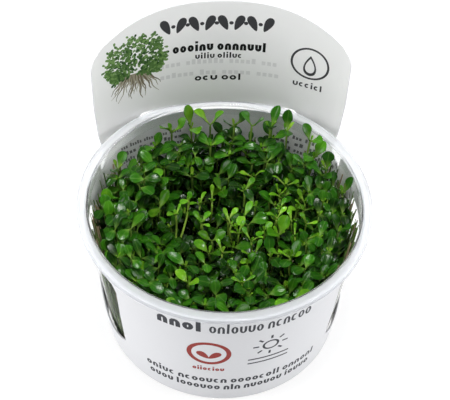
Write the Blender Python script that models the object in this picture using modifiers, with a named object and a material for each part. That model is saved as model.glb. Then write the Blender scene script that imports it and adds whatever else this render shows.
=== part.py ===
"""A clear culture cup of glossostigma, a creeping water plant, in a white card sleeve with an arched header.

Lengths are metres. The cup's axis is Z and its foot rests on z = 0. The header stands on the +Y side,
and the printed front panel faces -Y. Angles round the cup are measured from the header, towards +X.
"""

import math
import random

import bmesh
import bpy
from mathutils import Vector
from mathutils.bvhtree import BVHTree

MM = 0.001

# Cup, turned about Z
CUP_STEPS = 36
TAPER = 0.0984
FLANGE_RADIUS = 49.9 * MM
FLANGE_TOP = 57.9 * MM
FLANGE_THICK = 1.0 * MM
FLANGE_LIP = 0.9 * MM
LIP_THICK = 0.7 * MM
MOUTH_RADIUS = 46.1 * MM
MOUTH_DRAFT = 0.2 * MM
STACK_RING_RADIUS = 46.75 * MM
STACK_RING_FOOT = 54.6 * MM
STEP_DROP = 1.2 * MM
STEP_THICKER = 0.3 * MM
WALL = 0.8 * MM
CUP_FOOT_RADIUS = 41.0 * MM
FOOT_RING_WIDTH = 4.2 * MM
FOOT_CHAMFER = 0.6 * MM
BASE_RECESS = 1.0 * MM
RIM_ZONE = 2.0 * MM

# Nutrient gel on the cup's floor
GAP = 0.3 * MM
GEL_TOP = 9.0 * MM
GEL_CORNER = 1.2 * MM
GEL_STEPS = 32

# Card sleeve
CARD = 0.5 * MM
SLEEVE_FOOT_RADIUS = 42.2 * MM
SLEEVE_BOTTOM = 0.6 * MM
SLEEVE_TOP = 55.4 * MM
COLUMN_DEGREES = 6
ROW_HEIGHTS = [28 * MM, 36 * MM, 42 * MM, 48 * MM, 54 * MM]
FLAT_RADIUS = 47.0 * MM
CUT_DISTANCE = 1e-7
STRAIGHT = 1e-4
WELD = 0.01 * MM

# Header, which follows an upright arc of a larger radius than the cup
HEADER_ARC_RADIUS = 75.0 * MM
HEADER_FACE = 47.4 * MM
HEADER_TOP = 104.8 * MM
HEADER_HALF_WIDTH = 47.5 * MM
HEADER_SHOULDER_HALF = 42.7 * MM
HEADER_SHOULDER_DROP = 10.3 * MM
HEADER_ARCH_POWER = 2.84
HEADER_ARCH_END = 43.2 * MM
ARCH_POINTS = 11
CORNER_RADIUS = 7.0 * MM
CORNER_HEIGHT = 86.8 * MM
CORNER_POINTS = 5
CORNER_STEP = math.radians(14)
WAIST_HALF = 46.4 * MM
WAIST_HEIGHT = 58.0 * MM
WAIST_START = 70.0 * MM
SPREAD_BOTTOM = 26 * MM
SPREAD_TOP = 56 * MM
SPREAD_INNER_DEGREES = 50
SPREAD_OUTER_DEGREES = 66
SPREAD_LIMIT = math.radians(SPREAD_OUTER_DEGREES - 2) * FLAT_RADIUS

# Relief notch between the header's side edge and the band under the flange, as degrees and height
NOTCH = [
    (65.2, SLEEVE_TOP),
    (63.0, 53.6 * MM),
    (62.0, 48.6 * MM),
    (59.6, 46.4 * MM),
    (55.4, 45.8 * MM),
    (52.2, 47.6 * MM),
    (51.6, 51.0 * MM),
]

# Slot that the flange passes through
SLOT_HALF = 29.3 * MM
SLOT_BOTTOM = 54.6 * MM
SLOT_TOP = 58.4 * MM
SLOT_END_POINTS = 5

# Side window, as angle from the front in degrees and height, from the front top corner round to the back
WINDOW = [
    (52.5, 45.5 * MM),
    (53.4, 30.0 * MM),
    (53.5, 17.0 * MM),
    (53.2, 14.6 * MM),
    (57.0, 12.5 * MM),
    (60.0, 11.6 * MM),
    (66.5, 10.8 * MM),
    (73.0, 11.3 * MM),
    (80.0, 13.6 * MM),
    (88.0, 19.0 * MM),
    (95.0, 27.5 * MM),
    (100.0, 38.0 * MM),
    (101.5, 46.0 * MM),
    (99.6, 48.6 * MM),
    (54.8, 48.6 * MM),
]

# Crowns that the plantlets grow from, spread over the gel
PLANTLETS = 24
CROWN_SPREAD = 38.0 * MM
CROWN_SIDES = 5
CROWN_RADIUS = 2.4 * MM
CROWN_TOP_RADIUS = 1.32 * MM
CROWN_HEIGHT = 4.0 * MM
CROWN_TURN = 0.7
GOLDEN_ANGLE = math.radians(137.508)

# Shoots: how many, where their top nodes stand, and the room that they keep
SHOOTS = 94
TRIES = 6000
TALL_TRIES = 12
SEED = 41
MAT_TOP = 52.6 * MM
NODE_LOWEST = 26.0 * MM
NODE_HIGHEST = 46.5 * MM
NODE_CROWDING = 2.0
NODE_CHOICES = 5
DIP_PLACE = (-8.0 * MM, 6.0 * MM)
DIP_REACH = 13.0 * MM
DIP_DEPTH = 7.0 * MM
NODE_REACH = 41.5 * MM
WALL_ZONE = 33.0 * MM
WALL_TURN = 0.5
SHOOT_CLEARANCE = 0.15 * MM
WALL_CLEARANCE = 0.5 * MM
FOOT_OFFSET = 1.3 * MM
FOOT_DEPTH = 1.6 * MM
STEM_RADIUS = 0.45 * MM
STEM_FOOT_RADIUS = 0.7 * MM
STEM_BEND = (0.0, 0.25)
NODE_DEPTH = 0.7 * MM

# Leaves, as lowest and highest value, and the sections along a blade: how far along, its part of the
# half width, its depth, and how far its sides lift
STALKS = (1.8 * MM, 3.4 * MM)
STALK_SPREAD = (0.8, 1.25)
STALK_RISE = (38, 66)
HEADING_SPREAD = (-0.35, 0.35)
BLADES = (4.5 * MM, 6.3 * MM)
BLADE_RISE = (10, 56)
HALF_WIDTHS = (1.85 * MM, 2.55 * MM)
ROLLS = (-24, 24)
BLADE_SECTIONS = [(0.30, 0.82, 0.42 * MM, 0.10), (0.78, 0.92, 0.36 * MM, 0.16)]
TIP_LIFT = 0.3 * MM
STALK_HALF = 0.34 * MM
STALK_DEPTH = 0.55 * MM

# The tallest shoots, which stand above the rim at the back and sides: node x, y, z in millimetres,
# heading of the leaf pair and length of the stalks
TALL_SHOOTS = [
    (-36.5, 22.0, 50.5, 250, 2.6),
    (-31.5, 29.0, 50.5, 110, 2.8),
    (-24.5, 33.5, 51.0, 80, 2.6),
    (-17.0, 37.0, 53.0, 20, 3.0),
    (-10.0, 38.5, 53.5, 95, 2.8),
    (-3.0, 39.5, 54.0, 160, 2.8),
    (5.8, 39.0, 53.5, 35, 3.0),
    (12.0, 38.0, 54.5, 330, 2.6),
    (18.6, 36.0, 54.5, 70, 3.0),
    (24.0, 32.0, 57.0, 100, 3.4),
    (31.5, 25.5, 58.5, 300, 3.0),
    (33.0, 22.5, 53.0, 30, 2.8),
    (36.5, 16.0, 54.5, 75, 3.0),
    (40.6, 3.0, 55.5, 20, 3.0),
    (-39.8, 6.0, 48.5, 100, 2.8),
    (38.4, -8.0, 48.5, 120, 2.8),
]

WHITE_CARD = (0.86, 0.86, 0.87, 1.0)
CLEAR_PLASTIC = (0.93, 0.95, 0.97, 1.0)
CLEAR_GEL = (0.80, 0.80, 0.60, 1.0)
LEAF_GREENS = [
    (0.055, 0.200, 0.018, 1.0),
    (0.075, 0.250, 0.024, 1.0),
    (0.040, 0.150, 0.015, 1.0),
]


def clear_scene():
    for obj in list(bpy.data.objects):
        bpy.data.objects.remove(obj, do_unlink=True)


def make_collection(name):
    collection = bpy.data.collections.new(name)
    bpy.context.scene.collection.children.link(collection)
    return collection


def make_material(name, colour, roughness, transmission=0.0):
    material = bpy.data.materials.new(name)
    material.use_nodes = True
    shader = material.node_tree.nodes["Principled BSDF"]
    shader.inputs["Base Color"].default_value = colour
    shader.inputs["Roughness"].default_value = roughness
    shader.inputs["Metallic"].default_value = 0.0
    shader.inputs["Transmission Weight"].default_value = transmission
    material.diffuse_color = colour
    return material


def add_object(name, mesh, collection, material):
    obj = bpy.data.objects.new(name, mesh)
    collection.objects.link(obj)
    mesh.materials.append(material)
    return obj


def smooth_rise(x, low, high):
    """0 below low, 1 above high, and a smooth rise between them."""
    t = min(1.0, max(0.0, (x - low) / (high - low)))
    return t * t * (3 - 2 * t)


def add_turned(name, profile, steps, collection, material):
    """A closed solid turned about Z from a profile of (radius, height) that runs from axis to axis."""
    mesh = bpy.data.meshes.new(name)
    points = [(radius, 0.0, height) for radius, height in profile]
    edges = [(i, i + 1) for i in range(len(points) - 1)]
    mesh.from_pydata(points, edges, [])
    obj = add_object(name, mesh, collection, material)
    screw = obj.modifiers.new("Turn", "SCREW")
    screw.axis = "Z"
    screw.angle = math.tau
    screw.steps = steps
    screw.render_steps = steps
    screw.use_merge_vertices = True
    screw.merge_threshold = WELD
    screw.use_smooth_shade = True
    return obj


def cup_outside(height):
    """Outer radius of the cup's main wall."""
    return CUP_FOOT_RADIUS + TAPER * height


def cup_inside(height):
    """Inner radius of the cup's main wall."""
    return cup_outside(height) - WALL


def add_cup(collection):
    step_low = STACK_RING_FOOT - STEP_DROP
    flange_low = FLANGE_TOP - FLANGE_THICK
    lip_inside = FLANGE_RADIUS - LIP_THICK
    foot = CUP_FOOT_RADIUS - FOOT_RING_WIDTH
    slope_foot = foot - BASE_RECESS
    profile = [
        (0.0, BASE_RECESS + WALL),
        (slope_foot + WALL, BASE_RECESS + WALL),
        (foot + WALL, WALL),
        (cup_inside(WALL), WALL),
        (cup_inside(step_low), step_low),
        (MOUTH_RADIUS - MOUTH_DRAFT, STACK_RING_FOOT),
        (MOUTH_RADIUS, FLANGE_TOP),
        (FLANGE_RADIUS, FLANGE_TOP),
        (FLANGE_RADIUS, flange_low - FLANGE_LIP),
        (lip_inside, flange_low - FLANGE_LIP),
        (lip_inside, flange_low),
        (STACK_RING_RADIUS, flange_low),
        (STACK_RING_RADIUS, STACK_RING_FOOT - STEP_THICKER),
        (cup_outside(step_low), step_low - STEP_THICKER),
        (cup_outside(0.0) - FOOT_CHAMFER, 0.0),
        (foot, 0.0),
        (slope_foot, BASE_RECESS),
        (0.0, BASE_RECESS),
    ]
    material = make_material("clear_plastic", CLEAR_PLASTIC, 0.08, 0.9)
    return add_turned("cup", profile, CUP_STEPS, collection, material)


def add_gel(collection):
    low = BASE_RECESS + WALL + GAP
    profile = [
        (0.0, GEL_TOP),
        (cup_inside(GEL_TOP) - GAP, GEL_TOP),
        (cup_inside(low) - GEL_CORNER, low),
        (0.0, low),
    ]
    material = make_material("nutrient_gel", CLEAR_GEL, 0.15, 0.7)
    return add_turned("growth_gel", profile, GEL_STEPS, collection, material)


def header_place(along):
    """Point in plan of the header's arc, this far along the card from its middle."""
    turn = along / HEADER_ARC_RADIUS
    x = HEADER_ARC_RADIUS * math.sin(turn)
    y = HEADER_FACE - HEADER_ARC_RADIUS + HEADER_ARC_RADIUS * math.cos(turn)
    return x, y


def header_angle(along):
    """Angle round the cup of the same point."""
    x, y = header_place(along)
    return math.atan2(x, y)


def header_radius(angle):
    """Distance from the cup's axis to the header's arc, in this direction."""
    back = HEADER_FACE - HEADER_ARC_RADIUS
    side = back * math.sin(angle)
    return back * math.cos(angle) + math.sqrt(HEADER_ARC_RADIUS**2 - side * side)


def arch_height(along):
    return HEADER_TOP - HEADER_SHOULDER_DROP * (abs(along) / HEADER_SHOULDER_HALF) ** HEADER_ARCH_POWER


def header_side():
    """Half of the header's outline as (along, height), from the neck up to the middle of the arch."""
    points = [(WAIST_HALF, WAIST_HEIGHT), (HEADER_HALF_WIDTH, WAIST_START)]
    centre = HEADER_HALF_WIDTH - CORNER_RADIUS
    for step in range(CORNER_POINTS):
        turn = CORNER_STEP * step
        points.append((centre + CORNER_RADIUS * math.cos(turn), CORNER_HEIGHT + CORNER_RADIUS * math.sin(turn)))
    for step in range(ARCH_POINTS):
        along = HEADER_ARCH_END * (1 - step / ARCH_POINTS)
        points.append((along, arch_height(along)))
    return points


def flat(angle, height):
    """Place on the flat card of an angle round the cup and a height."""
    return (angle * FLAT_RADIUS, height)


def sleeve_outline():
    """The die-cut card laid flat, anticlockwise from its lower left corner."""
    half = [flat(header_angle(along), height) for along, height in header_side()]
    notch = [flat(math.radians(angle), height) for angle, height in NOTCH]
    right = [flat(math.pi, SLEEVE_BOTTOM), flat(math.pi, SLEEVE_TOP)] + notch + half
    left = [(-x, y) for x, y in reversed(right)]
    return right + [flat(0.0, HEADER_TOP)] + left


def slot_outline():
    radius = (SLOT_TOP - SLOT_BOTTOM) / 2
    middle = (SLOT_TOP + SLOT_BOTTOM) / 2
    points = []
    for side in (1, -1):
        for step in range(SLOT_END_POINTS):
            turn = math.pi * (step / (SLOT_END_POINTS - 1) - 0.5)
            along = side * (SLOT_HALF - radius + radius * math.cos(turn))
            points.append(flat(header_angle(along), middle + side * radius * math.sin(turn)))
    return points


def window_outline(side):
    return [flat(side * math.radians(180 - angle), height) for angle, height in WINDOW]


def filled_outline(outlines):
    """A flat mesh of the first outline with the others as holes."""
    curve = bpy.data.curves.new("card_outline", "CURVE")
    curve.dimensions = "2D"
    curve.fill_mode = "BOTH"
    for outline in outlines:
        spline = curve.splines.new("POLY")
        spline.points.add(len(outline) - 1)
        for point, (x, y) in zip(spline.points, outline):
            point.co = (x, y, 0.0, 1.0)
        spline.use_cyclic_u = True
    obj = bpy.data.objects.new("card_outline", curve)
    bpy.context.scene.collection.objects.link(obj)
    graph = bpy.context.evaluated_depsgraph_get()
    mesh = bpy.data.meshes.new_from_object(obj.evaluated_get(graph))
    bpy.data.objects.remove(obj, do_unlink=True)
    return mesh


def cut_lines(bm, axis, places, keep=lambda face: True):
    """Cuts the flat card's faces along lines, across the given axis."""
    normal = Vector((1, 0, 0)) if axis == 0 else Vector((0, 1, 0))
    for place in places:
        faces = [face for face in bm.faces if keep(face)]
        edges = {edge for face in faces for edge in face.edges}
        verts = {vert for face in faces for vert in face.verts}
        geom = list(verts) + list(edges) + faces
        bmesh.ops.bisect_plane(bm, geom=geom, plane_co=normal * place, plane_no=normal, dist=CUT_DISTANCE)


def on_sleeve(x, height):
    """Wraps a place on the flat card: a cone below, and the header's arc above and at the back."""
    angle = x / FLAT_RADIUS
    cone = SLEEVE_FOOT_RADIUS + TAPER * height - CARD / 2
    spread = smooth_rise(height, SPREAD_BOTTOM, SPREAD_TOP)
    spread *= 1 - smooth_rise(abs(math.degrees(angle)), SPREAD_INNER_DEGREES, SPREAD_OUTER_DEGREES)
    radius = cone + (header_radius(angle) - cone) * spread if spread > 0 else cone
    return Vector((radius * math.sin(angle), radius * math.cos(angle), height))


def merge_cells(bm, columns, rows):
    """Joins the triangles of each cell between the cut lines to one face, and drops the points left on its sides."""
    cells = {}
    for face in bm.faces:
        centre = face.calc_center_median()
        column = sum(centre.x > place for place in columns)
        inner = abs(centre.x) < SPREAD_LIMIT
        row = sum(centre.y > place for place in rows) if inner else 0
        cells.setdefault((column, row), []).append(face)
    for faces in cells.values():
        bmesh.ops.dissolve_faces(bm, faces=faces)
    for vert in list(bm.verts):
        if len(vert.link_edges) != 2:
            continue
        ends = [edge.other_vert(vert).co - vert.co for edge in vert.link_edges]
        if ends[0].normalized().cross(ends[1].normalized()).length < STRAIGHT:
            bmesh.ops.dissolve_verts(bm, verts=[vert])


def add_sleeve(collection):
    outlines = [sleeve_outline(), slot_outline(), window_outline(1), window_outline(-1)]
    mesh = filled_outline(outlines)
    mesh.name = "label_sleeve"
    bm = bmesh.new()
    bm.from_mesh(mesh)
    columns = [math.radians(angle) * FLAT_RADIUS for angle in range(-180 + COLUMN_DEGREES, 180, COLUMN_DEGREES)]
    cut_lines(bm, 0, columns)
    cut_lines(bm, 1, ROW_HEIGHTS, lambda face: abs(face.calc_center_median().x) < SPREAD_LIMIT)
    merge_cells(bm, columns, ROW_HEIGHTS)
    for vert in bm.verts:
        vert.co = on_sleeve(vert.co.x, vert.co.y)
    bmesh.ops.remove_doubles(bm, verts=bm.verts, dist=WELD)
    finished(bm).to_mesh(mesh)
    bm.free()
    mesh.materials.clear()
    obj = add_object("label_sleeve", mesh, collection, make_material("white_card", WHITE_CARD, 0.55))
    solidify = obj.modifiers.new("Card", "SOLIDIFY")
    solidify.thickness = CARD
    solidify.offset = 0.0
    return obj


class Shoot:
    """One upright stem with a pair of opposite leaves at its top node."""

    def __init__(self, rng, node, heading, stalk):
        self.node = Vector(node)
        self.heading = heading
        self.leaves = []
        for turn in (0.0, math.pi):
            leaf = {
                "heading": heading + turn + rng.uniform(*HEADING_SPREAD),
                "stalk": stalk * rng.uniform(*STALK_SPREAD),
                "stalk_rise": math.radians(rng.uniform(*STALK_RISE)),
                "blade": rng.uniform(*BLADES),
                "blade_rise": math.radians(rng.uniform(*BLADE_RISE)),
                "half_width": rng.uniform(*HALF_WIDTHS),
                "roll": math.radians(rng.uniform(*ROLLS)),
            }
            self.leaves.append(leaf)
        self.bend = rng.uniform(*STEM_BEND)
        self.foot = None


def leaf_direction(heading, rise):
    return Vector((math.cos(heading) * math.cos(rise), math.sin(heading) * math.cos(rise), math.sin(rise)))


def leaf_sections(shoot, leaf, grow):
    """Sections of three points from the stalk's top outwards, and the tip. grow makes all of them thicker."""
    stalk_end = shoot.node + leaf_direction(leaf["heading"], leaf["stalk_rise"]) * leaf["stalk"]
    along = leaf_direction(leaf["heading"], leaf["blade_rise"])
    level = Vector((-math.sin(leaf["heading"]), math.cos(leaf["heading"]), 0.0))
    across = level * math.cos(leaf["roll"]) + along.cross(level) * math.sin(leaf["roll"])
    up = along.cross(across)
    if up.z < 0:
        up.negate()
    half = STALK_HALF + grow
    sections = [(stalk_end - level * half, stalk_end + level * half, stalk_end - up * (STALK_DEPTH + grow))]
    for far, width, depth, lift in BLADE_SECTIONS:
        middle = stalk_end + along * (leaf["blade"] * far)
        half = leaf["half_width"] * width + grow
        raised = middle + up * (half * lift + grow)
        sections.append((raised - across * half, raised + across * half, middle - up * (depth + grow)))
    tip = stalk_end + along * (leaf["blade"] + grow) + up * TIP_LIFT
    return sections, tip


def extend(bm, ring, rows, tip=None):
    """Skins from a ring of three vertices over rows of three points, to a tip or a flat cap."""
    for row in rows:
        after = [bm.verts.new(point) for point in row]
        for i in range(3):
            j = (i + 1) % 3
            bm.faces.new((ring[i], ring[j], after[j], after[i]))
        ring = after
    if tip is None:
        bm.faces.new(ring)
        return
    end = bm.verts.new(tip)
    for i in range(3):
        bm.faces.new((ring[i], ring[(i + 1) % 3], end))


def stem_rows(shoot, grow):
    """Rows of three points down the bent stem, from under the node to its foot in the crown."""
    ahead = Vector((math.cos(shoot.heading), math.sin(shoot.heading), 0.0))
    level = Vector((-ahead.y, ahead.x, 0.0))
    sides = (-level, (level + ahead * math.sqrt(3)) / 2, (level - ahead * math.sqrt(3)) / 2)
    middle = shoot.foot.lerp(shoot.node, 0.5)
    middle += Vector((shoot.node.x - shoot.foot.x, shoot.node.y - shoot.foot.y, 0.0)) * shoot.bend
    rows = []
    for place, radius in ((middle, STEM_RADIUS), (shoot.foot, STEM_FOOT_RADIUS)):
        rows.append([place + side * (radius + grow) for side in sides])
    return rows


def shoot_mesh(shoot, grow=0.0):
    """A shoot as one closed skin: a small four-cornered node, with a leaf, a leaf and the stem on its faces."""
    bm = bmesh.new()
    ahead = Vector((math.cos(shoot.heading), math.sin(shoot.heading), 0.0))
    level = Vector((-ahead.y, ahead.x, 0.0))
    keel = shoot.node - Vector((0, 0, NODE_DEPTH + grow))
    left = bm.verts.new(shoot.node - level * (STEM_RADIUS + grow))
    right = bm.verts.new(shoot.node + level * (STEM_RADIUS + grow))
    front = bm.verts.new(keel + ahead * (STEM_RADIUS + grow))
    rear = bm.verts.new(keel - ahead * (STEM_RADIUS + grow))
    extend(bm, (left, right, front), *leaf_sections(shoot, shoot.leaves[0], grow))
    extend(bm, (right, left, rear), *leaf_sections(shoot, shoot.leaves[1], grow))
    extend(bm, (left, front, rear), stem_rows(shoot, grow))
    bm.faces.new((right, front, rear))
    return finished(bm)


def finished(bm):
    bmesh.ops.recalc_face_normals(bm, faces=bm.faces)
    bmesh.ops.triangulate(bm, faces=bm.faces)
    return bm


def crown_places():
    """Even places over the gel, by the rule that seeds follow in a sunflower."""
    places = []
    for i in range(PLANTLETS):
        radius = CROWN_SPREAD * math.sqrt((i + 0.5) / PLANTLETS)
        turn = i * GOLDEN_ANGLE
        places.append(Vector((radius * math.cos(turn), radius * math.sin(turn), GEL_TOP + GAP)))
    return places


def inside_cup(bm, top):
    """Whether a skin clears the cup's wall and stays under a height."""
    for vert in bm.verts:
        limit = cup_inside(min(vert.co.z, FLANGE_TOP)) - WALL_CLEARANCE
        if vert.co.z < FLANGE_TOP + RIM_ZONE and math.hypot(vert.co.x, vert.co.y) > limit:
            return False
        if vert.co.z > top:
            return False
    return True


def search_tree(bm, above=0.0):
    """Tree of the faces that are wholly above a height, for the overlap test."""
    bm.verts.index_update()
    points = [vert.co.copy() for vert in bm.verts]
    faces = [[vert.index for vert in face.verts] for face in bm.faces if min(v.co.z for v in face.verts) > above]
    return BVHTree.FromPolygons(points, faces)


def place_shoot(shoot, crowns, placed, top):
    """Roots the shoot in the nearest crown and keeps it if it clears the wall and every shoot already there."""
    shoot.owner = min(range(len(crowns)), key=lambda k: (crowns[k].xy - shoot.node.xy).length)
    crown = crowns[shoot.owner]
    outwards = (shoot.node - crown).xy
    outwards = outwards.normalized() * min(outwards.length, FOOT_OFFSET)
    shoot.foot = crown + Vector((outwards.x, outwards.y, FOOT_DEPTH))
    skin = shoot_mesh(shoot, SHOOT_CLEARANCE)
    fits = inside_cup(skin, top)
    shoot.whole = search_tree(skin)
    shoot.upper = search_tree(skin, GEL_TOP + GAP + CROWN_HEIGHT)
    skin.free()
    if not fits:
        return
    for other in placed:
        same = other.owner == shoot.owner
        if shoot.upper.overlap(other.upper) if same else shoot.whole.overlap(other.whole):
            return
    placed.append(shoot)


def mat_dip(node):
    """How much lower the mat is here, in the hollow behind its middle."""
    far = (node.xy - Vector(DIP_PLACE)).length / DIP_REACH
    return DIP_DEPTH * math.exp(-far * far)


def roomiest_node(rng, placed):
    """Of a few random places in the mat, the one that is farthest from every node already there."""
    best, best_room = None, -1.0
    for _ in range(NODE_CHOICES):
        radius = NODE_REACH * math.sqrt(rng.random())
        turn = rng.uniform(0, math.tau)
        height = NODE_HIGHEST - (NODE_HIGHEST - NODE_LOWEST) * rng.random() ** NODE_CROWDING
        node = Vector((radius * math.cos(turn), radius * math.sin(turn), height))
        node.z -= mat_dip(node)
        room = min(math.hypot((node - other.node).xy.length, (node - other.node).z / 2) for other in placed)
        if room > best_room:
            best, best_room = node, room
    return best


def pair_heading(rng, node):
    """Any heading in the open, and along the wall beside it, where a pair fits only that way."""
    if node.xy.length < WALL_ZONE:
        return rng.uniform(0, math.tau)
    return math.atan2(node.y, node.x) + math.pi / 2 + rng.uniform(-WALL_TURN, WALL_TURN)


def grow_shoots(crowns):
    """All shoots that find room, the tallest first, each with the number of the crown that it grows from."""
    rng = random.Random(SEED)
    placed = []
    for x, y, z, heading, stalk in TALL_SHOOTS:
        before = len(placed)
        for _ in range(TALL_TRIES):
            if len(placed) == before:
                shoot = Shoot(rng, (x * MM, y * MM, z * MM), math.radians(heading), stalk * MM)
                place_shoot(shoot, crowns, placed, HEADER_TOP)
    for _ in range(TRIES):
        if len(placed) < SHOOTS:
            node = roomiest_node(rng, placed)
            shoot = Shoot(rng, node, pair_heading(rng, node), rng.uniform(*STALKS))
            place_shoot(shoot, crowns, placed, MAT_TOP)
    return placed


def object_from(bm, name, collection):
    mesh = bpy.data.meshes.new(name)
    bm.to_mesh(mesh)
    bm.free()
    obj = bpy.data.objects.new(name, mesh)
    collection.objects.link(obj)
    return obj


def crown_mesh(place, turn):
    bm = bmesh.new()
    sizes = {"radius1": CROWN_RADIUS, "radius2": CROWN_TOP_RADIUS, "depth": CROWN_HEIGHT}
    bmesh.ops.create_cone(bm, cap_ends=True, segments=CROWN_SIDES, **sizes)
    for vert in bm.verts:
        x, y = vert.co.x, vert.co.y
        vert.co.x = x * math.cos(turn) - y * math.sin(turn) + place.x
        vert.co.y = x * math.sin(turn) + y * math.cos(turn) + place.y
        vert.co.z += place.z + CROWN_HEIGHT / 2
    return finished(bm)


def add_plantlet(number, place, shoots, collection, helpers, material):
    """One plantlet: its rooted crown, stems and leaf pairs, united in one solid."""
    name = f"plantlet_{number:02d}"
    obj = object_from(crown_mesh(place, number * CROWN_TURN), name, collection)
    obj.data.materials.append(material)
    pieces = bpy.data.collections.new(name + "_pieces")
    helpers.children.link(pieces)
    for shoot in shoots:
        piece = object_from(shoot_mesh(shoot), name + "_shoot", pieces)
        piece.hide_render = True
        piece.display_type = "WIRE"
    union = obj.modifiers.new("Join", "BOOLEAN")
    union.operation = "UNION"
    union.operand_type = "COLLECTION"
    union.collection = pieces
    union.solver = "EXACT"
    graph = bpy.context.evaluated_depsgraph_get()
    mesh = bpy.data.meshes.new_from_object(obj.evaluated_get(graph))
    obj.modifiers.clear()
    obj.data = mesh
    for piece in list(pieces.objects):
        bpy.data.objects.remove(piece, do_unlink=True)
    bpy.data.collections.remove(pieces)
    return obj


def main():
    clear_scene()
    parts = make_collection("glossostigma_cup")
    helpers = make_collection("cutters")
    helpers.hide_render = True
    add_cup(parts)
    add_gel(parts)
    add_sleeve(parts)
    crowns = crown_places()
    placed = grow_shoots(crowns)
    greens = [make_material(f"leaf_green_{i + 1}", colour, 0.4) for i, colour in enumerate(LEAF_GREENS)]
    for number, place in enumerate(crowns):
        shoots = [shoot for shoot in placed if shoot.owner == number]
        add_plantlet(number + 1, place, shoots, parts, helpers, greens[number % len(greens)])
    print("shoots placed:", len(placed))


main()
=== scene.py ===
"""The looks of a clear culture cup of glossostigma: cup, printed card sleeve, gel and plants.

Lengths are metres in the part's own frame: +Z up along the cup's axis, the header at +Y and the front
panel at -Y. Angles round the cup are measured from the header, towards +X.
"""

import math
import random

import bmesh
import bpy
import numpy as np
from mathutils import Matrix, Vector
from mathutils.bvhtree import BVHTree
from mathutils.geometry import delaunay_2d_cdt
from mathutils.kdtree import KDTree


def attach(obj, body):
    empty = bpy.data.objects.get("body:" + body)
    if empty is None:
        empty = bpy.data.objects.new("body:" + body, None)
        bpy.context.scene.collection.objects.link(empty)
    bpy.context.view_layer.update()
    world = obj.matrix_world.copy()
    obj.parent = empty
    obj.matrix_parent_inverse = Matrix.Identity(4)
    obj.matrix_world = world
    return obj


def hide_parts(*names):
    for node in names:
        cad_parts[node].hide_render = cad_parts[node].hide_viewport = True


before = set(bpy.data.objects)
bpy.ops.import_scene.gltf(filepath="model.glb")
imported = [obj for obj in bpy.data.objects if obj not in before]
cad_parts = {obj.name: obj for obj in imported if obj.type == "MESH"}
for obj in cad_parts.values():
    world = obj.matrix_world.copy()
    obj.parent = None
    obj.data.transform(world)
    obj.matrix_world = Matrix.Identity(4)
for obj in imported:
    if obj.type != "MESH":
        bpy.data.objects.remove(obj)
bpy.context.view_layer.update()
MM = 0.001

# Camera, fitted to the photograph: its angles in degrees, its lens and sensor in millimetres
CAMERA_ELEVATION = 48.79
CAMERA_AZIMUTH = -5.1
CAMERA_ROLL = 2.4
CAMERA_DISTANCE = 392.66 * MM
CAMERA_TARGET = 57.83 * MM
CAMERA_LENS = 93.06
SENSOR_WIDTH = 36.0

# Cup, turned about Z. Its clear wall is thinner than the solid's and stands farther out by WALL_SWELL, still
# inside the sleeve, so that the plants show behind it in the side windows
CUP_STEPS = 144
TAPER = 0.0984
FLANGE_RADIUS = 49.9 * MM
FLANGE_TOP = 57.9 * MM
FLANGE_THICK = 1.0 * MM
FLANGE_LIP = 0.9 * MM
FLANGE_DISH = 0.12 * MM
FLANGE_BEAD = 0.9 * MM
LIP_THICK = 0.7 * MM
MOUTH_RADIUS = 46.1 * MM
MOUTH_DRAFT = 0.2 * MM
STACK_RING_RADIUS = 46.75 * MM
STACK_RING_FOOT = 54.6 * MM
STEP_DROP = 1.2 * MM
STEP_THICKER = 0.3 * MM
WALL = 0.8 * MM
WALL_SWELL = 0.35 * MM
THIN_WALL = 0.4 * MM
CUP_FOOT_RADIUS = 41.0 * MM
FOOT_RING_WIDTH = 4.2 * MM
FOOT_CHAMFER = 0.6 * MM
BASE_RECESS = 1.0 * MM
RIM_ZONE = 2.0 * MM
FILLET = 0.3 * MM
FINE_FILLET = 0.15 * MM
SOFT_FILLET = 0.4 * MM
LIP_FILLET = 0.25 * MM
MOUTH_FILLET = 0.45 * MM
FLOOR_FILLET = 1.2 * MM
FILLET_BAND = 0.2 * MM
CLEAR_BEAD = 0.6 * MM

# Nutrient gel on the cup's floor
GAP = 0.3 * MM
GEL_TOP = 9.0 * MM
GEL_CORNER = 1.2 * MM

# Card sleeve
CARD = 0.5 * MM
SLEEVE_FOOT_RADIUS = 42.2 * MM
SLEEVE_BOTTOM = 0.6 * MM
SLEEVE_TOP = 55.4 * MM
COLUMN_DEGREES = 3
ROW_STEP = 3.0 * MM
FLAT_RADIUS = 47.0 * MM
SEAM_ANGLE = math.radians(72)

# Header, which follows an upright arc of a larger radius than the cup
HEADER_ARC_RADIUS = 75.0 * MM
HEADER_FACE = 47.4 * MM
HEADER_TOP = 104.8 * MM
HEADER_HALF_WIDTH = 47.5 * MM
HEADER_SHOULDER_HALF = 42.7 * MM
HEADER_SHOULDER_DROP = 10.3 * MM
HEADER_ARCH_POWER = 2.84
HEADER_ARCH_END = 43.2 * MM
ARCH_POINTS = 30
CORNER_RADIUS = 7.0 * MM
CORNER_HEIGHT = 86.8 * MM
CORNER_POINTS = 9
CORNER_STEP = math.radians(7)
WAIST_HALF = 46.4 * MM
WAIST_HEIGHT = 58.0 * MM
WAIST_START = 70.0 * MM
SPREAD_BOTTOM = 26 * MM
SPREAD_TOP = 56 * MM
SPREAD_INNER_DEGREES = 50
SPREAD_OUTER_DEGREES = 66
SPREAD_LIMIT = math.radians(SPREAD_OUTER_DEGREES - 2) * FLAT_RADIUS

# Relief notch between the header's side edge and the band under the flange, as degrees and millimetres
NOTCH = [(65.2, 55.4), (63.0, 53.6), (62.0, 48.6), (59.6, 46.4), (55.4, 45.8), (52.2, 47.6), (51.6, 51.0)]

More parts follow.
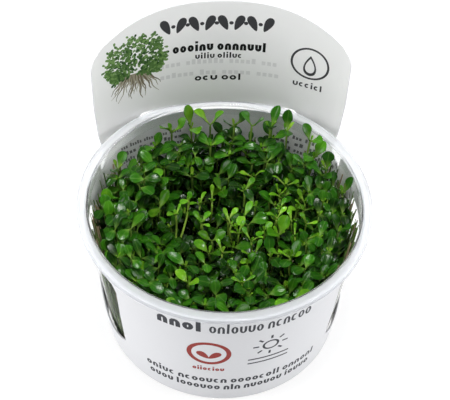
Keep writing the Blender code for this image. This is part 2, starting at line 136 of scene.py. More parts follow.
# Slot that the flange passes through
SLOT_HALF = 29.3 * MM
SLOT_BOTTOM = 54.6 * MM
SLOT_TOP = 58.4 * MM
SLOT_END_POINTS = 9

# Side window, as degrees from the front and millimetres of height, from its front top corner downwards
WINDOW = [
    (52.5, 45.5), (53.4, 30.0), (53.5, 17.0), (53.2, 14.6), (57.0, 12.5),
    (60.0, 11.6), (66.5, 10.8), (73.0, 11.3), (80.0, 13.6), (88.0, 19.0),
    (95.0, 27.5), (100.0, 38.0), (101.5, 46.0), (99.6, 48.6), (54.8, 48.6),
]

# Inks and papers of the card: colour, roughness and, for an ink, its gloss
INKS = {
    # card, the outer face, is greyer and bluer than card_inside, the inner face: partly the card's own tone,
    # partly painted shade on the outer face and painted light on the inner face
    "card": ((0.74, 0.745, 0.77), 0.42),
    "card_inside": ((0.92, 0.92, 0.92), 0.5),
    "charcoal": ((0.050, 0.050, 0.055), 0.40, 0.3),
    "black": ((0.008, 0.008, 0.009), 0.38, 0.3),
    "slate": ((0.020, 0.023, 0.032), 0.45, 0.3),
    "red": ((0.30, 0.012, 0.004), 0.45, 0.3),
    "green_dark": ((0.026, 0.075, 0.018), 0.42),
    "green_mid": ((0.075, 0.165, 0.040), 0.42),
    "green_light": ((0.160, 0.290, 0.085), 0.42),
    "root_print": ((0.36, 0.33, 0.25), 0.45),
    "root_dark": ((0.16, 0.13, 0.085), 0.45),
    # faint and soft_grey: painted show-through, the shade of print on the card's other face seen through the
    # card
    "faint": ((0.76, 0.76, 0.765), 0.5),
    "soft_grey": ((0.20, 0.205, 0.205), 0.5),
}

# Crowns that the plantlets grow from, spread over the gel
PLANTLETS = 24
CROWN_SPREAD = 38.0 * MM
CROWN_RADIUS = 2.4 * MM
CROWN_TOP_RADIUS = 1.32 * MM
CROWN_HEIGHT = 4.0 * MM
GOLDEN_ANGLE = math.radians(137.508)

# Shoots: how many, where their top nodes stand, and the room that they keep
SHOOTS = 94
TRIES = 6000
TALL_TRIES = 12
SEED = 41
MAT_TOP = 52.6 * MM
NODE_LOWEST = 26.0 * MM
NODE_HIGHEST = 46.5 * MM
NODE_CROWDING = 2.0
NODE_CHOICES = 5
DIP_PLACE = (-8.0 * MM, 6.0 * MM)
DIP_REACH = 13.0 * MM
DIP_DEPTH = 7.0 * MM
NODE_REACH = 41.5 * MM
WALL_ZONE = 33.0 * MM
WALL_TURN = 0.5
SHOOT_CLEARANCE = 0.15 * MM
WALL_CLEARANCE = 0.5 * MM
FOOT_OFFSET = 1.3 * MM
FOOT_DEPTH = 1.6 * MM
STEM_RADIUS = 0.45 * MM
STEM_FOOT_RADIUS = 0.7 * MM
STEM_BEND = (0.0, 0.25)
NODE_DEPTH = 0.7 * MM

# Leaves, as lowest and highest value, and the sections along a plain blade: how far along, its part of
# the half width, its depth, and how far its sides lift
STALKS = (1.8 * MM, 3.4 * MM)
STALK_SPREAD = (0.8, 1.25)
STALK_RISE = (38, 66)
HEADING_SPREAD = (-0.35, 0.35)
BLADES = (4.5 * MM, 6.3 * MM)
BLADE_RISE = (10, 56)
HALF_WIDTHS = (1.85 * MM, 2.55 * MM)
ROLLS = (-24, 24)
BLADE_SECTIONS = [(0.30, 0.82, 0.42 * MM, 0.10), (0.78, 0.92, 0.36 * MM, 0.16)]
TIP_LIFT = 0.3 * MM
STALK_HALF = 0.34 * MM
STALK_DEPTH = 0.55 * MM

# The tallest shoots, which stand above the rim at the back and sides: node x, y, z in millimetres,
# heading of the leaf pair and length of the stalks
TALL_SHOOTS = [
    (-36.5, 22.0, 50.5, 250, 2.6), (-31.5, 29.0, 50.5, 110, 2.8), (-24.5, 33.5, 51.0, 80, 2.6),
    (-17.0, 37.0, 53.0, 20, 3.0), (-10.0, 38.5, 53.5, 95, 2.8), (-3.0, 39.5, 54.0, 160, 2.8),
    (5.8, 39.0, 53.5, 35, 3.0), (12.0, 38.0, 54.5, 330, 2.6), (18.6, 36.0, 54.5, 70, 3.0),
    (24.0, 32.0, 57.0, 100, 3.4), (31.5, 25.5, 58.5, 300, 3.0), (33.0, 22.5, 53.0, 30, 2.8),
    (36.5, 16.0, 54.5, 75, 3.0), (40.6, 3.0, 55.5, 20, 3.0), (-39.8, 6.0, 48.5, 100, 2.8),
    (38.4, -8.0, 48.5, 120, 2.8),
]

# Lower leaf pairs on the main stems, and smaller shoots under and between them
LOWER_PAIR = (0.60, 0.72)
UPPER_PAIR = (0.76, 0.87)
PAIR_SCALE = (0.5, 0.8)
FILLERS = 1450
FILLER_TRIES = 17000
FILLER_SEED = 7
FILLER_LOWEST = 12.0 * MM
FILLER_HIGHEST = 46.5 * MM
LOW_SCALE = (0.5, 0.85)
HIGH_SCALE = (0.68, 0.98)
HIGH_FILLER = 38.0 * MM
FILLER_RISE = (4, 50)
TOWARDS_LIGHT = 26
MAIN_TOWARDS_LIGHT = 8
WALL_FILLERS = 0.56
WALL_FILLER_INSIDE = 30.0 * MM
WALL_FILLER_HEIGHTS = (26.0 * MM, 50.5 * MM)
WALL_FILLER_TOP = 57.0 * MM
SIDE_FILLER_HIGHEST = 54.0 * MM
SIDE_ZONE = (0.68, 0.92)
SIDE_OUTSIDE = 31.0 * MM
FILLER_DIP = 2.4
PALE_DIP_PLACE = (13.0 * MM, -1.0 * MM)
PALE_DIP_REACH = 10.0 * MM
PALE_DIP_DEPTH = 9.0 * MM
# Painted shade in the hollow: how much it darkens the leaves' colour, and how far it reaches
HOLLOW_PAINTED_SHADE = 0.8
PAINTED_SHADE_REACH = 18.0 * MM
LEAF_ZONE = 2.5 * MM
NEAR = 13.0 * MM
PETIOLE_RADIUS = 0.25 * MM
MAIN_SCALE = (0.80, 0.98)
PLANT_TONE = 0.09
LOOKS_SEED = 99
TALL_RISE = (38, 72)

# Pale young shoots with bent stems, most of them right of the middle
PALE_SHOOTS = 34
PALE_TRIES = 400
PALE_MIDDLE = (12.0 * MM, 3.0 * MM)
PALE_SPREAD = (13.0 * MM, 12.0 * MM)
PALE_HEIGHTS = (44.0 * MM, 51.5 * MM)
PALE_SWAY = 3.0 * MM
PALE_SEED = 5
PALE_STALKS = (2.4, 4.2)
PALE_STALK_RISE = (40, 70)
PALE_BLADES = (1.9, 3.4)
PALE_BLADE_RISE = (25, 75)
PALE_WIDTHS = (0.26, 0.40)
PALE_FORKED = 0.6
PALE_FORK = 0.55
PALE_FORK_REACH = (4.0 * MM, 8.0 * MM)
PALE_FORK_RISE = (-3, 1.5)
FORK_STALKS = (1.4, 2.4)
FORK_SCALE = (0.45, 0.7)
FORK_BEND = 0.3

# Old stems and roots that stand close inside the wall
WALL_STEMS = 1000
WALL_STEM_SHARE = 0.55
WALL_STEM_DEPTH = (0.05 * MM, 2.0 * MM)
WALL_STEM_FOOT = (2.4 * MM, 6.0 * MM)
WALL_STEM_TOPS = (26.0 * MM, 46.0 * MM)
WALL_STEM_SIDE_RISE = 7.0 * MM
WALL_STEM_WIDTHS = (0.18, 0.45)
WALL_STEM_DRIFT = 0.16
WALL_STEM_SEED = 31
ROOT_SHARE = 0.16


# Leaf colours from a shaded old leaf to a pale young one, and the range that most of a noise lies in
LEAF_AGES = [
    (0.0, (0.003, 0.022, 0.001)),
    (0.35, (0.012, 0.082, 0.002)),
    (0.62, (0.042, 0.175, 0.004)),
    (0.82, (0.120, 0.300, 0.010)),
    (1.0, (0.320, 0.480, 0.055)),
]
MIDDLE_NOISE = (0.3, 0.7)


# Small helpers
def smooth_rise(x, low, high):
    """0 below low, 1 above high, and a smooth rise between them."""
    t = min(1.0, max(0.0, (x - low) / (high - low)))
    return t * t * (3 - 2 * t)


def polar(radius, turn, height=0.0):
    """The point at this distance from the cup's axis, turned this far from +X."""
    return Vector((radius * math.cos(turn), radius * math.sin(turn), height))


def cup_outside(height):
    """Outer radius of the cup's main wall."""
    return CUP_FOOT_RADIUS + TAPER * height


def cup_inside(height):
    """Inner radius of the cup's main wall."""
    return cup_outside(height) - WALL


def thin_inside(height):
    """Inner radius of the thin clear wall, which stands closer to the sleeve than the part's own."""
    return cup_outside(height) + WALL_SWELL - THIN_WALL


def add_object(name, mesh, materials, slot, *nodes):
    """A piece of the object, in place of the CAD nodes that it stands for."""
    obj = bpy.data.objects.new(name, mesh)
    bpy.context.scene.collection.objects.link(obj)
    for material in materials:
        mesh.materials.append(material)
    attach(obj, "root")
    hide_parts(*nodes)
    return obj


# Materials
def principled(name, **values):
    """A material, its node tree and its shader, with constants set on the shader's sockets."""
    material = bpy.data.materials.new(name)
    material.use_nodes = True
    shader = material.node_tree.nodes["Principled BSDF"]
    for label, value in values.items():
        shader.inputs[label.replace("_", " ")].default_value = value
    return material, material.node_tree, shader


def add_node(tree, kind, values=None, **settings):
    made = tree.nodes.new("ShaderNode" + kind)
    for setting, value in settings.items():
        setattr(made, setting, value)
    for socket, value in (values or {}).items():
        made.inputs[socket].default_value = value
    return made


def add_noise(tree, scale, detail=3.0, stretch=(1, 1, 1)):
    """Noise fixed to the object, in cells per metre."""
    place = add_node(tree, "TexCoord")
    mapping = add_node(tree, "Mapping", {"Scale": stretch})
    noise = add_node(tree, "TexNoise", {"Scale": scale, "Detail": detail})
    tree.links.new(place.outputs["Object"], mapping.inputs["Vector"])
    tree.links.new(mapping.outputs["Vector"], noise.inputs["Vector"])
    return noise.outputs["Fac"]


def add_math(tree, operation, first, second=0.0, clamp=False):
    made = add_node(tree, "Math", operation=operation, use_clamp=clamp)
    for socket, value in zip(made.inputs, (first, second)):
        if isinstance(value, (int, float)):
            socket.default_value = value
        else:
            tree.links.new(value, socket)
    return made.outputs[0]


def add_range(tree, value, low, high, to_low, to_high):
    made = add_node(tree, "MapRange", {1: low, 2: high, 3: to_low, 4: to_high})
    tree.links.new(value, made.inputs[0])
    return made.outputs[0]


def add_mix(tree, factor, first, second, blend="MIX"):
    """Mixes two colours, each a socket or a plain colour."""
    made = add_node(tree, "Mix", data_type="RGBA", blend_type=blend)
    for socket, value in ((made.inputs[0], factor), (made.inputs[6], first), (made.inputs[7], second)):
        if isinstance(value, (tuple, float, int)):
            socket.default_value = value
        else:
            tree.links.new(value, socket)
    return made.outputs[2]


def feed(tree, shader, **outputs):
    """Links these outputs to the shader's sockets of the same names."""
    for label, output in outputs.items():
        tree.links.new(output, shader.inputs[label.replace("_", " ")])


def add_bump(tree, shader, height, distance, strength=1.0):
    bump = add_node(tree, "Bump", {"Strength": strength, "Distance": distance})
    tree.links.new(height, bump.inputs["Height"])
    feed(tree, shader, Normal=bump.outputs["Normal"])


def plastic_material(name, clarity, tone, index, roughness, ripple=0.0):
    """Clear or milky moulded plastic with a faint haze and, where it is clear, a faint ripple."""
    material, tree, shader = principled(
        name, Base_Color=(*tone, 1), Transmission_Weight=clarity, IOR=index, Roughness=roughness
    )
    haze = add_noise(tree, 260.0, 4.0)
    dim = tuple(part * 0.97 for part in tone)
    feed(
        tree,
        shader,
        Roughness=add_range(tree, haze, *MIDDLE_NOISE, roughness * 0.8, roughness * 1.4),
        Base_Color=add_mix(tree, haze, (*dim, 1), (*tone, 1)),
    )
    if ripple:
        add_bump(tree, shader, add_noise(tree, 240.0, 2.0), ripple)
    return material


def gel_material():
    material, tree, shader = principled(
        "nutrient_gel", Base_Color=(0.50, 0.50, 0.32, 1), Transmission_Weight=0.7, IOR=1.34, Roughness=0.12
    )
    cloud = add_noise(tree, 140.0, 5.0)
    tone = add_mix(tree, cloud, (0.40, 0.40, 0.22, 1), (0.62, 0.62, 0.42, 1))
    feed(tree, shader, Base_Color=tone, Roughness=add_range(tree, cloud, *MIDDLE_NOISE, 0.08, 0.22))
    add_bump(tree, shader, add_noise(tree, 320.0, 3.0), 0.1 * MM)
    return material


def paper_material(name, colour, roughness, gloss=0.5, cloudiness=0.03):
    """Coated card or an ink on it: a faint cloudiness, and a fine fibre under the coat."""
    material, tree, shader = principled(
        name, Base_Color=(*colour, 1), Roughness=roughness, IOR=1.38, Specular_IOR_Level=gloss
    )
    dark = tuple(part * (1 - cloudiness) for part in colour)
    cloud = add_noise(tree, 90.0, 4.0)
    fibre = add_noise(tree, 2600.0, 3.0, (1.0, 1.0, 0.35))
    feed(
        tree,
        shader,
        Base_Color=add_mix(tree, cloud, (*dark, 1), (*colour, 1)),
        Roughness=add_range(tree, fibre, *MIDDLE_NOISE, roughness - 0.05, roughness + 0.07),
    )
    add_bump(tree, shader, fibre, 0.012 * MM)
    return material


def leaf_material():
    """Leaf and stem: tint holds age, a level of painted light and shade, and how much it is stalk, and place
    the spot on the leaf.
    """
    material, tree, shader = principled(
        "glossostigma_leaf",
        IOR=1.42,
        Specular_IOR_Level=0.26,
        Subsurface_Weight=0.12,
        Subsurface_Scale=0.6 * MM,
        Subsurface_Radius=(0.5, 1.0, 0.25),
    )

    def maths(operation, first, second=0.0, clamp=False):
        return add_math(tree, operation, first, second, clamp)

    tint = add_node(tree, "SeparateColor")
    place = add_node(tree, "SeparateXYZ")
    tree.links.new(add_node(tree, "Attribute", attribute_name="tint").outputs["Color"], tint.inputs[0])
    tree.links.new(add_node(tree, "Attribute", attribute_name="place").outputs["Vector"], place.inputs[0])
    mottle = add_noise(tree, 420.0, 4.0)
    ramp = add_node(tree, "ValToRGB")
    while len(ramp.color_ramp.elements) < len(LEAF_AGES):
        ramp.color_ramp.elements.new(0.5)
    for element, (position, colour) in zip(ramp.color_ramp.elements, LEAF_AGES):
        element.position = position
        element.color = (*colour, 1)
    age = maths("ADD", tint.outputs[0], add_range(tree, mottle, *MIDDLE_NOISE, -0.09, 0.09), True)
    tree.links.new(age, ramp.inputs[0])
    across = maths("ABSOLUTE", place.outputs[0])
    midrib = add_range(tree, across, 0.0, 0.09, 1.0, 0.0)
    slanted = maths("SUBTRACT", place.outputs[1], maths("MULTIPLY", across, 0.35))
    ribs = maths("SINE", maths("MULTIPLY", slanted, 46.0))
    blade = maths("SUBTRACT", 1.0, tint.outputs[2], True)
    veins = maths("ADD", maths("MULTIPLY", midrib, 0.30), add_range(tree, ribs, 0.6, 1.0, 0.0, 0.10))
    colour = add_mix(tree, maths("MULTIPLY", blade, veins, True), ramp.outputs[0], (0.17, 0.36, 0.05, 1))
    colour = add_mix(tree, tint.outputs[2], colour, (0.19, 0.31, 0.055, 1))
    # Painted light and shade: the tint's second channel scales the colour from a quarter to 1.4 times
    shade = add_node(tree, "CombineColor")
    level = add_range(tree, tint.outputs[1], 0.0, 1.0, 0.25, 1.4)
    for socket in shade.inputs:
        tree.links.new(level, socket)
    feed(
        tree,
        shader,
        Base_Color=add_mix(tree, 1.0, colour, shade.outputs[0], "MULTIPLY"),
        Roughness=add_range(tree, mottle, *MIDDLE_NOISE, 0.16, 0.27),
    )
    relief = maths("ADD", maths("MULTIPLY", midrib, -0.6), maths("MULTIPLY", ribs, 0.12))
    relief = maths("ADD", maths("MULTIPLY", relief, blade), add_noise(tree, 1500.0, 2.0))
    add_bump(tree, shader, relief, 0.05 * MM, 0.7)
    return material


def root_material():
    material, tree, shader = principled("root", Roughness=0.5, IOR=1.42)
    patch = add_noise(tree, 350.0, 4.0)
    tone = add_mix(tree, patch, (0.06, 0.036, 0.018, 1), (0.26, 0.19, 0.11, 1))
    feed(tree, shader, Base_Color=tone, Roughness=add_range(tree, patch, *MIDDLE_NOISE, 0.38, 0.62))
    add_bump(tree, shader, add_noise(tree, 2500.0, 2.0), 0.05 * MM)
    return material


# Turned pieces
def rounded_profile(corners, steps=4):
    """A profile of (radius, height, fillet) corners, each fillet a short curve between two narrow bands."""
    points = []
    for i, (radius, height, fillet) in enumerate(corners):
        corner = Vector((radius, height))
        if not fillet:
            points.append(corner)
            continue
        before = Vector(corners[i - 1][:2]) - corner
        after = Vector(corners[i + 1][:2]) - corner
        start = corner + before.normalized() * min(fillet, before.length * 0.42)
        end = corner + after.normalized() * min(fillet, after.length * 0.42)
        points.append(start + before.normalized() * min(FILLET_BAND, before.length * 0.05))
        for step in range(steps + 1):
            t = step / steps
            points.append(start * (1 - t) ** 2 + corner * (2 * t * (1 - t)) + end * t**2)
        points.append(end + after.normalized() * min(FILLET_BAND, after.length * 0.05))
    return points


def turned_mesh(name, profile, steps):
    """A closed solid turned about Z from a profile that starts and ends on the axis."""
    bm = bmesh.new()
    rings = []
    for point in profile:
        if point.x < 1e-7:
            rings.append([bm.verts.new((0, 0, point.y))])
            continue
        turns = [math.tau * i / steps for i in range(steps)]
        rings.append([bm.verts.new((point.x * math.cos(t), point.x * math.sin(t), point.y)) for t in turns])
    for low, high in zip(rings, rings[1:]):
        for i in range(steps):
            j = (i + 1) % steps
            corners = [low[i % len(low)], low[j % len(low)], high[j % len(high)], high[i % len(high)]]
            bm.faces.new(list(dict.fromkeys(corners)))
    bmesh.ops.recalc_face_normals(bm, faces=bm.faces)
    mesh = bpy.data.meshes.new(name)
    bm.to_mesh(mesh)
    bm.free()
    mesh.shade_smooth()
    mesh.set_sharp_from_angle(angle=math.radians(50))
    return mesh


def add_cup():
    step_low = STACK_RING_FOOT - STEP_DROP
    flange_low = FLANGE_TOP - FLANGE_THICK
    lip_inside = FLANGE_RADIUS - LIP_THICK
    foot = CUP_FOOT_RADIUS - FOOT_RING_WIDTH
    slope_foot = foot - BASE_RECESS
    dished = FLANGE_TOP - FLANGE_DISH
    corners = [
        (0.0, BASE_RECESS + WALL, 0),
        (slope_foot + WALL, BASE_RECESS + WALL, SOFT_FILLET),
        (foot + WALL, WALL, FILLET),
        (thin_inside(WALL), WALL, FLOOR_FILLET),
        (thin_inside(step_low), step_low, FILLET),
        (MOUTH_RADIUS + MOUTH_DRAFT, STACK_RING_FOOT, FILLET),
        (MOUTH_RADIUS, FLANGE_TOP, MOUTH_FILLET),
        (MOUTH_RADIUS + FLANGE_BEAD, FLANGE_TOP, FINE_FILLET),
        (MOUTH_RADIUS + FLANGE_BEAD + FLANGE_DISH, dished, FINE_FILLET),
        (FLANGE_RADIUS - FLANGE_BEAD - FLANGE_DISH, dished, FINE_FILLET),
        (FLANGE_RADIUS - FLANGE_BEAD, FLANGE_TOP, FINE_FILLET),
        (FLANGE_RADIUS, FLANGE_TOP, SOFT_FILLET),
        (FLANGE_RADIUS, flange_low - FLANGE_LIP, LIP_FILLET),
        (lip_inside, flange_low - FLANGE_LIP, 0.2 * MM),
        (lip_inside, flange_low, LIP_FILLET),
        (STACK_RING_RADIUS, flange_low, FILLET),
        (STACK_RING_RADIUS, STACK_RING_FOOT - STEP_THICKER, SOFT_FILLET),
        (cup_outside(step_low) + WALL_SWELL, step_low - STEP_THICKER, SOFT_FILLET),
        (cup_outside(0.0) + WALL_SWELL - FOOT_CHAMFER / 2, 0.0, FLOOR_FILLET),
        (foot, 0.0, SOFT_FILLET),
        (slope_foot, BASE_RECESS, SOFT_FILLET),
        (0.0, BASE_RECESS, 0),
    ]
    mesh = turned_mesh("clear_cup", rounded_profile(corners), CUP_STEPS)
    for face in mesh.polygons:
        if face.center.z > flange_low - FLANGE_LIP and face.center.xy.length > MOUTH_RADIUS + CLEAR_BEAD:
            face.material_index = 2
        elif face.center.z > step_low - MM:
            face.material_index = 1
    clear = plastic_material("wall_plastic", 0.99, (0.985, 0.995, 0.985), 1.015, 0.04)
    neck = plastic_material("neck_plastic", 0.93, (0.97, 0.985, 0.975), 1.24, 0.08, 0.02 * MM)
    milky = plastic_material("milky_plastic", 0.6, (0.85, 0.865, 0.89), 1.06, 0.12)
    return add_object("clear_cup", mesh, [clear, neck, milky], "clear_plastic", "cup")


def add_gel():
    """Gel with a meniscus up the wall and a slightly uneven top."""
    low = BASE_RECESS + WALL + GAP
    wall = cup_inside(GEL_TOP) - GAP
    corners = [
        (0.0, GEL_TOP - 0.6 * MM, 0),
        (wall * 0.55, GEL_TOP - 0.5 * MM, 3 * MM),
        (wall - 2.4 * MM, GEL_TOP - 0.55 * MM, 1.5 * MM),
        (wall - 0.25 * MM, GEL_TOP, 0.15 * MM),
        (wall, GEL_TOP, 0.1 * MM),
        (cup_inside(low) - GEL_CORNER, low, 0.8 * MM),
        (0.0, low, 0),
    ]
    mesh = turned_mesh("clear_gel", rounded_profile(corners), CUP_STEPS)
    return add_object("clear_gel", mesh, [gel_material()], "nutrient_gel", "growth_gel")


# Card sleeve: its shape
def header_place(along):
    """Point in plan of the header's arc, this far along the card from its middle."""
    turn = along / HEADER_ARC_RADIUS
    x = HEADER_ARC_RADIUS * math.sin(turn)
    y = HEADER_FACE - HEADER_ARC_RADIUS + HEADER_ARC_RADIUS * math.cos(turn)
    return x, y


def header_angle(along):
    """Angle round the cup of the same point."""
    x, y = header_place(along)
    return math.atan2(x, y)


def header_radius(angle):
    """Distance from the cup's axis to the header's arc, in this direction."""
    back = HEADER_FACE - HEADER_ARC_RADIUS
    side = back * math.sin(angle)
    return back * math.cos(angle) + math.sqrt(HEADER_ARC_RADIUS**2 - side * side)


def arch_height(along):
    return HEADER_TOP - HEADER_SHOULDER_DROP * (abs(along) / HEADER_SHOULDER_HALF) ** HEADER_ARCH_POWER


def header_side():
    """Half of the header's outline as (along, height), from the neck up to the middle of the arch."""
    points = [(WAIST_HALF, WAIST_HEIGHT), (HEADER_HALF_WIDTH, WAIST_START)]
    centre = HEADER_HALF_WIDTH - CORNER_RADIUS
    for step in range(CORNER_POINTS):
        turn = CORNER_STEP * step
        height = CORNER_HEIGHT + CORNER_RADIUS * math.sin(turn)
        points.append((centre + CORNER_RADIUS * math.cos(turn), height))
    for step in range(ARCH_POINTS):
        along = HEADER_ARCH_END * (1 - step / ARCH_POINTS)
        points.append((along, arch_height(along)))
    return points


def flat(angle, height):
    """Place on the flat card of an angle round the cup and a height."""
    return (angle * FLAT_RADIUS, height)


def card_outline():
    """The card laid flat, from one side of the seam over the front, the header and back to its other side."""
    side = [flat(math.radians(angle), height * MM) for angle, height in NOTCH]
    side += [flat(header_angle(along), height) for along, height in header_side()]
    mirrored = [(-x, y) for x, y in reversed(side)]
    far = math.tau - SEAM_ANGLE
    start = [flat(far, SLEEVE_BOTTOM), flat(far, SLEEVE_TOP)]
    ends = [flat(-SEAM_ANGLE, SLEEVE_TOP), flat(-SEAM_ANGLE, SLEEVE_BOTTOM)]
    return start + side + [flat(0.0, HEADER_TOP)] + mirrored + ends


def slot_outline():
    radius = (SLOT_TOP - SLOT_BOTTOM) / 2
    middle = (SLOT_TOP + SLOT_BOTTOM) / 2
    points = []
    for side in (1, -1):
        for step in range(SLOT_END_POINTS):
            turn = math.pi * (step / (SLOT_END_POINTS - 1) - 0.5)
            along = side * (SLOT_HALF - radius + radius * math.cos(turn))
            points.append(flat(header_angle(along), middle + side * radius * math.sin(turn)))
    return points


def window_outline(side):
    return [flat(math.pi + side * math.radians(angle), height * MM) for angle, height in WINDOW]


def on_sleeve(x, height):
    """Wraps a place on the flat card: a cone below, and the header's arc above and at the back."""
    angle = (x / FLAT_RADIUS + math.pi) % math.tau - math.pi
    cone = SLEEVE_FOOT_RADIUS + TAPER * height - CARD / 2
    spread = smooth_rise(height, SPREAD_BOTTOM, SPREAD_TOP)
    spread *= 1 - smooth_rise(abs(math.degrees(angle)), SPREAD_INNER_DEGREES, SPREAD_OUTER_DEGREES)
    radius = cone + (header_radius(angle) - cone) * spread if spread > 0 else cone
    return Vector((radius * math.sin(angle), radius * math.cos(angle), height))


def sleeve_normal(x, height):
    """Outward direction of the wrapped card at a place on the flat card."""
    step = 0.05 * MM
    along = on_sleeve(x + step, height) - on_sleeve(x - step, height)
    upward = on_sleeve(x, height + step) - on_sleeve(x, height - step)
    return upward.cross(along).normalized()


# Card sleeve: print shapes, each a list of outlines in millimetres on its panel. The marks of a line of print
# have these widths and shares, with gaps after a mark and after a word, as parts of the widest mark
MARK_WIDTHS = {"ring": 1.0, "arch": 1.0, "bowl": 1.0, "hook": 0.95, "bar": 0.5, "dotted": 0.5}
MARK_SHARES = (4, 3, 2, 2, 1, 1)
MARK_GAP = 0.18
WORD_GAP = 0.45
SMALL_MARK = 0.72


def rounded_box(x0, y0, x1, y1, radius, steps=3):
    points = []
    left, right, low, high = x0 + radius, x1 - radius, y0 + radius, y1 - radius
    for quarter, (x, y) in enumerate(((right, high), (left, high), (left, low), (right, low))):
        for step in range(steps + 1):
            turn = math.pi / 2 * (quarter + step / steps)
            points.append((x + radius * math.cos(turn), y + radius * math.sin(turn)))
    return points


def oval(x, y, wide, high, steps=12):
    turns = [math.tau * i / steps for i in range(steps)]
    return [(x + wide * math.cos(t), y + high * math.sin(t)) for t in turns]


def circle(x, y, radius, steps=40):
    return oval(x, y, radius, radius, steps)


def leaf_shape(x, y, length, width, tilt, steps=12):
    """A leaf outline that starts at (x, y) and points along tilt, widest past its middle."""
    points = []
    cos, sin = math.cos(tilt), math.sin(tilt)
    for i in range(steps):
        turn = math.tau * i / steps
        far = length * (0.5 - 0.5 * math.cos(turn))
        side = width / 2 * math.sin(turn) * (0.8 - 0.35 * math.cos(turn))
        points.append((x + far * cos - side * sin, y + far * sin + side * cos))
    return points


def stroke(path, start_width, end_width):
    """The outline of a line drawn along a path."""
    left, right = [], []
    for i, (x, y) in enumerate(path):
        x0, y0 = path[max(0, i - 1)]
        x1, y1 = path[min(len(path) - 1, i + 1)]
        length = math.hypot(x1 - x0, y1 - y0)
        half = (start_width + (end_width - start_width) * i / (len(path) - 1)) / 2
        side_x, side_y = -(y1 - y0) / length * half, (x1 - x0) / length * half
        left.append((x + side_x, y + side_y))
        right.append((x - side_x, y - side_y))
    return left + right[::-1]


def arch(x, low, wide, high, line, side):
    """An arch on two legs, or with side -1 the same hung upside down."""
    foot, crown = (low, low + high) if side > 0 else (low + high, low)
    bend = foot + (crown - foot) * 0.55
    half, middle = wide / 2 - line / 2, x + wide / 2
    path = [(middle - half, foot)]
    for step in range(7):
        turn = math.pi * (1 - step / 6)
        height = bend + (crown - side * line / 2 - bend) * math.sin(turn)
        path.append((middle + half * math.cos(turn), height))
    return [stroke(path + [(middle + half, foot)], line, line)]


def mark(kind, x, low, wide, high, line):
    """One small mark of a line of print: a ring, an arch, a bowl, a bar, a bar with a dot, or a hook."""
    small = high * SMALL_MARK
    middle = x + wide / 2
    if kind == "ring":
        return [[oval(middle, low + small / 2, wide / 2 - grow, small / 2 - grow) for grow in (0, line)]]
    if kind in ("arch", "bowl"):
        return [arch(x, low, wide, small, line, 1 if kind == "arch" else -1)]
    left, right = middle - line / 2, middle + line / 2
    if kind == "bar":
        return [[[(left, low), (right, low), (right, low + high), (left, low + high)]]]
    if kind == "dotted":
        dot = low + small + line * 0.5
        bars = [(low, low + small), (dot, dot + line)]
        return [[[(left, y0), (right, y0), (right, y1), (left, y1)]] for y0, y1 in bars]
    turns = [math.radians(50 + 26 * i) for i in range(11)]
    half = (wide - line) / 2
    path = [(middle + half * math.cos(t), low + small / 2 + (small - line) / 2 * math.sin(t)) for t in turns]
    return [[stroke(path, line, line)]]


def inked(ink, groups):
    """The same ink for each of these groups of outlines."""
    return [(ink, group) for group in groups]


def word_row(x0, x1, low, high, words, rng, weight=0.2):
    """A line of print as groups of small made-up marks, set close like type."""
    line = (high - low) * weight
    kinds = [rng.choices(list(MARK_WIDTHS), MARK_SHARES, k=count) for count in words]
    spaces = sum(len(group) for group in kinds) * MARK_GAP + WORD_GAP * (len(kinds) - 1)
    unit_width = (x1 - x0) / (sum(MARK_WIDTHS[kind] for group in kinds for kind in group) + spaces)
    groups = []
    x = x0
    for group in kinds:
        for kind in group:
            wide = unit_width * MARK_WIDTHS[kind]
            groups += mark(kind, x, low, wide, high - low, line)
            x += wide + unit_width * MARK_GAP
        x += unit_width * WORD_GAP
    return groups


def small_row(x0, x1, low, high, words, rng):
    """A line of print too small to tell its marks apart."""
    pitch = (x1 - x0) / (sum(words) + 0.8 * (len(words) - 1))
    bars = []
    x = x0
    for count in words:
        for _ in range(count):
            top = high if rng.random() < 0.3 else low + (high - low) * SMALL_MARK
            bars.append([[(x, low), (x + pitch * 0.68, low), (x + pitch * 0.68, top), (x, top)]])
            x += pitch
        x += pitch * 0.8
    return bars


def header_prints():
    """Generic print on the header's inner face: an ornament, rows of marks, a sprig, a ring with a drop."""
    rng = random.Random(3)
    # Painted show-through: the two faint rows mirror the outer face's rows, as their shade seen through the
    # card
    shapes = inked("faint", small_row(-21, 21, 77.2, 79.6, [4, 7, 5, 3], rng))
    shapes += inked("faint", small_row(-21, 22, 72.0, 74.4, [6, 3, 5, 4], rng))
    for i in range(8):
        x = -18.6 + 5.0 * i
        tilt = math.radians(68 if i % 2 else 112)
        shapes.append(("charcoal", [leaf_shape(x - 3.2 * math.cos(tilt), 92.3, 6.9, 3.6, tilt, 20)]))
        if i < 7:
            shapes.append(("charcoal", [circle(x + 2.5, 95.4, 0.75, 16)]))
    shapes += inked("black", word_row(-16.4, 16.6, 83.2, 87.4, [6, 7], rng, 0.24))
    shapes += inked("black", word_row(-8.4, 8.4, 79.6, 82.2, [5, 6], rng, 0.22))
    shapes += inked("black", word_row(-8.5, 8.5, 69.2, 72.3, [3, 3], rng, 0.24))
    return shapes + sprig_shapes() + drop_shapes()


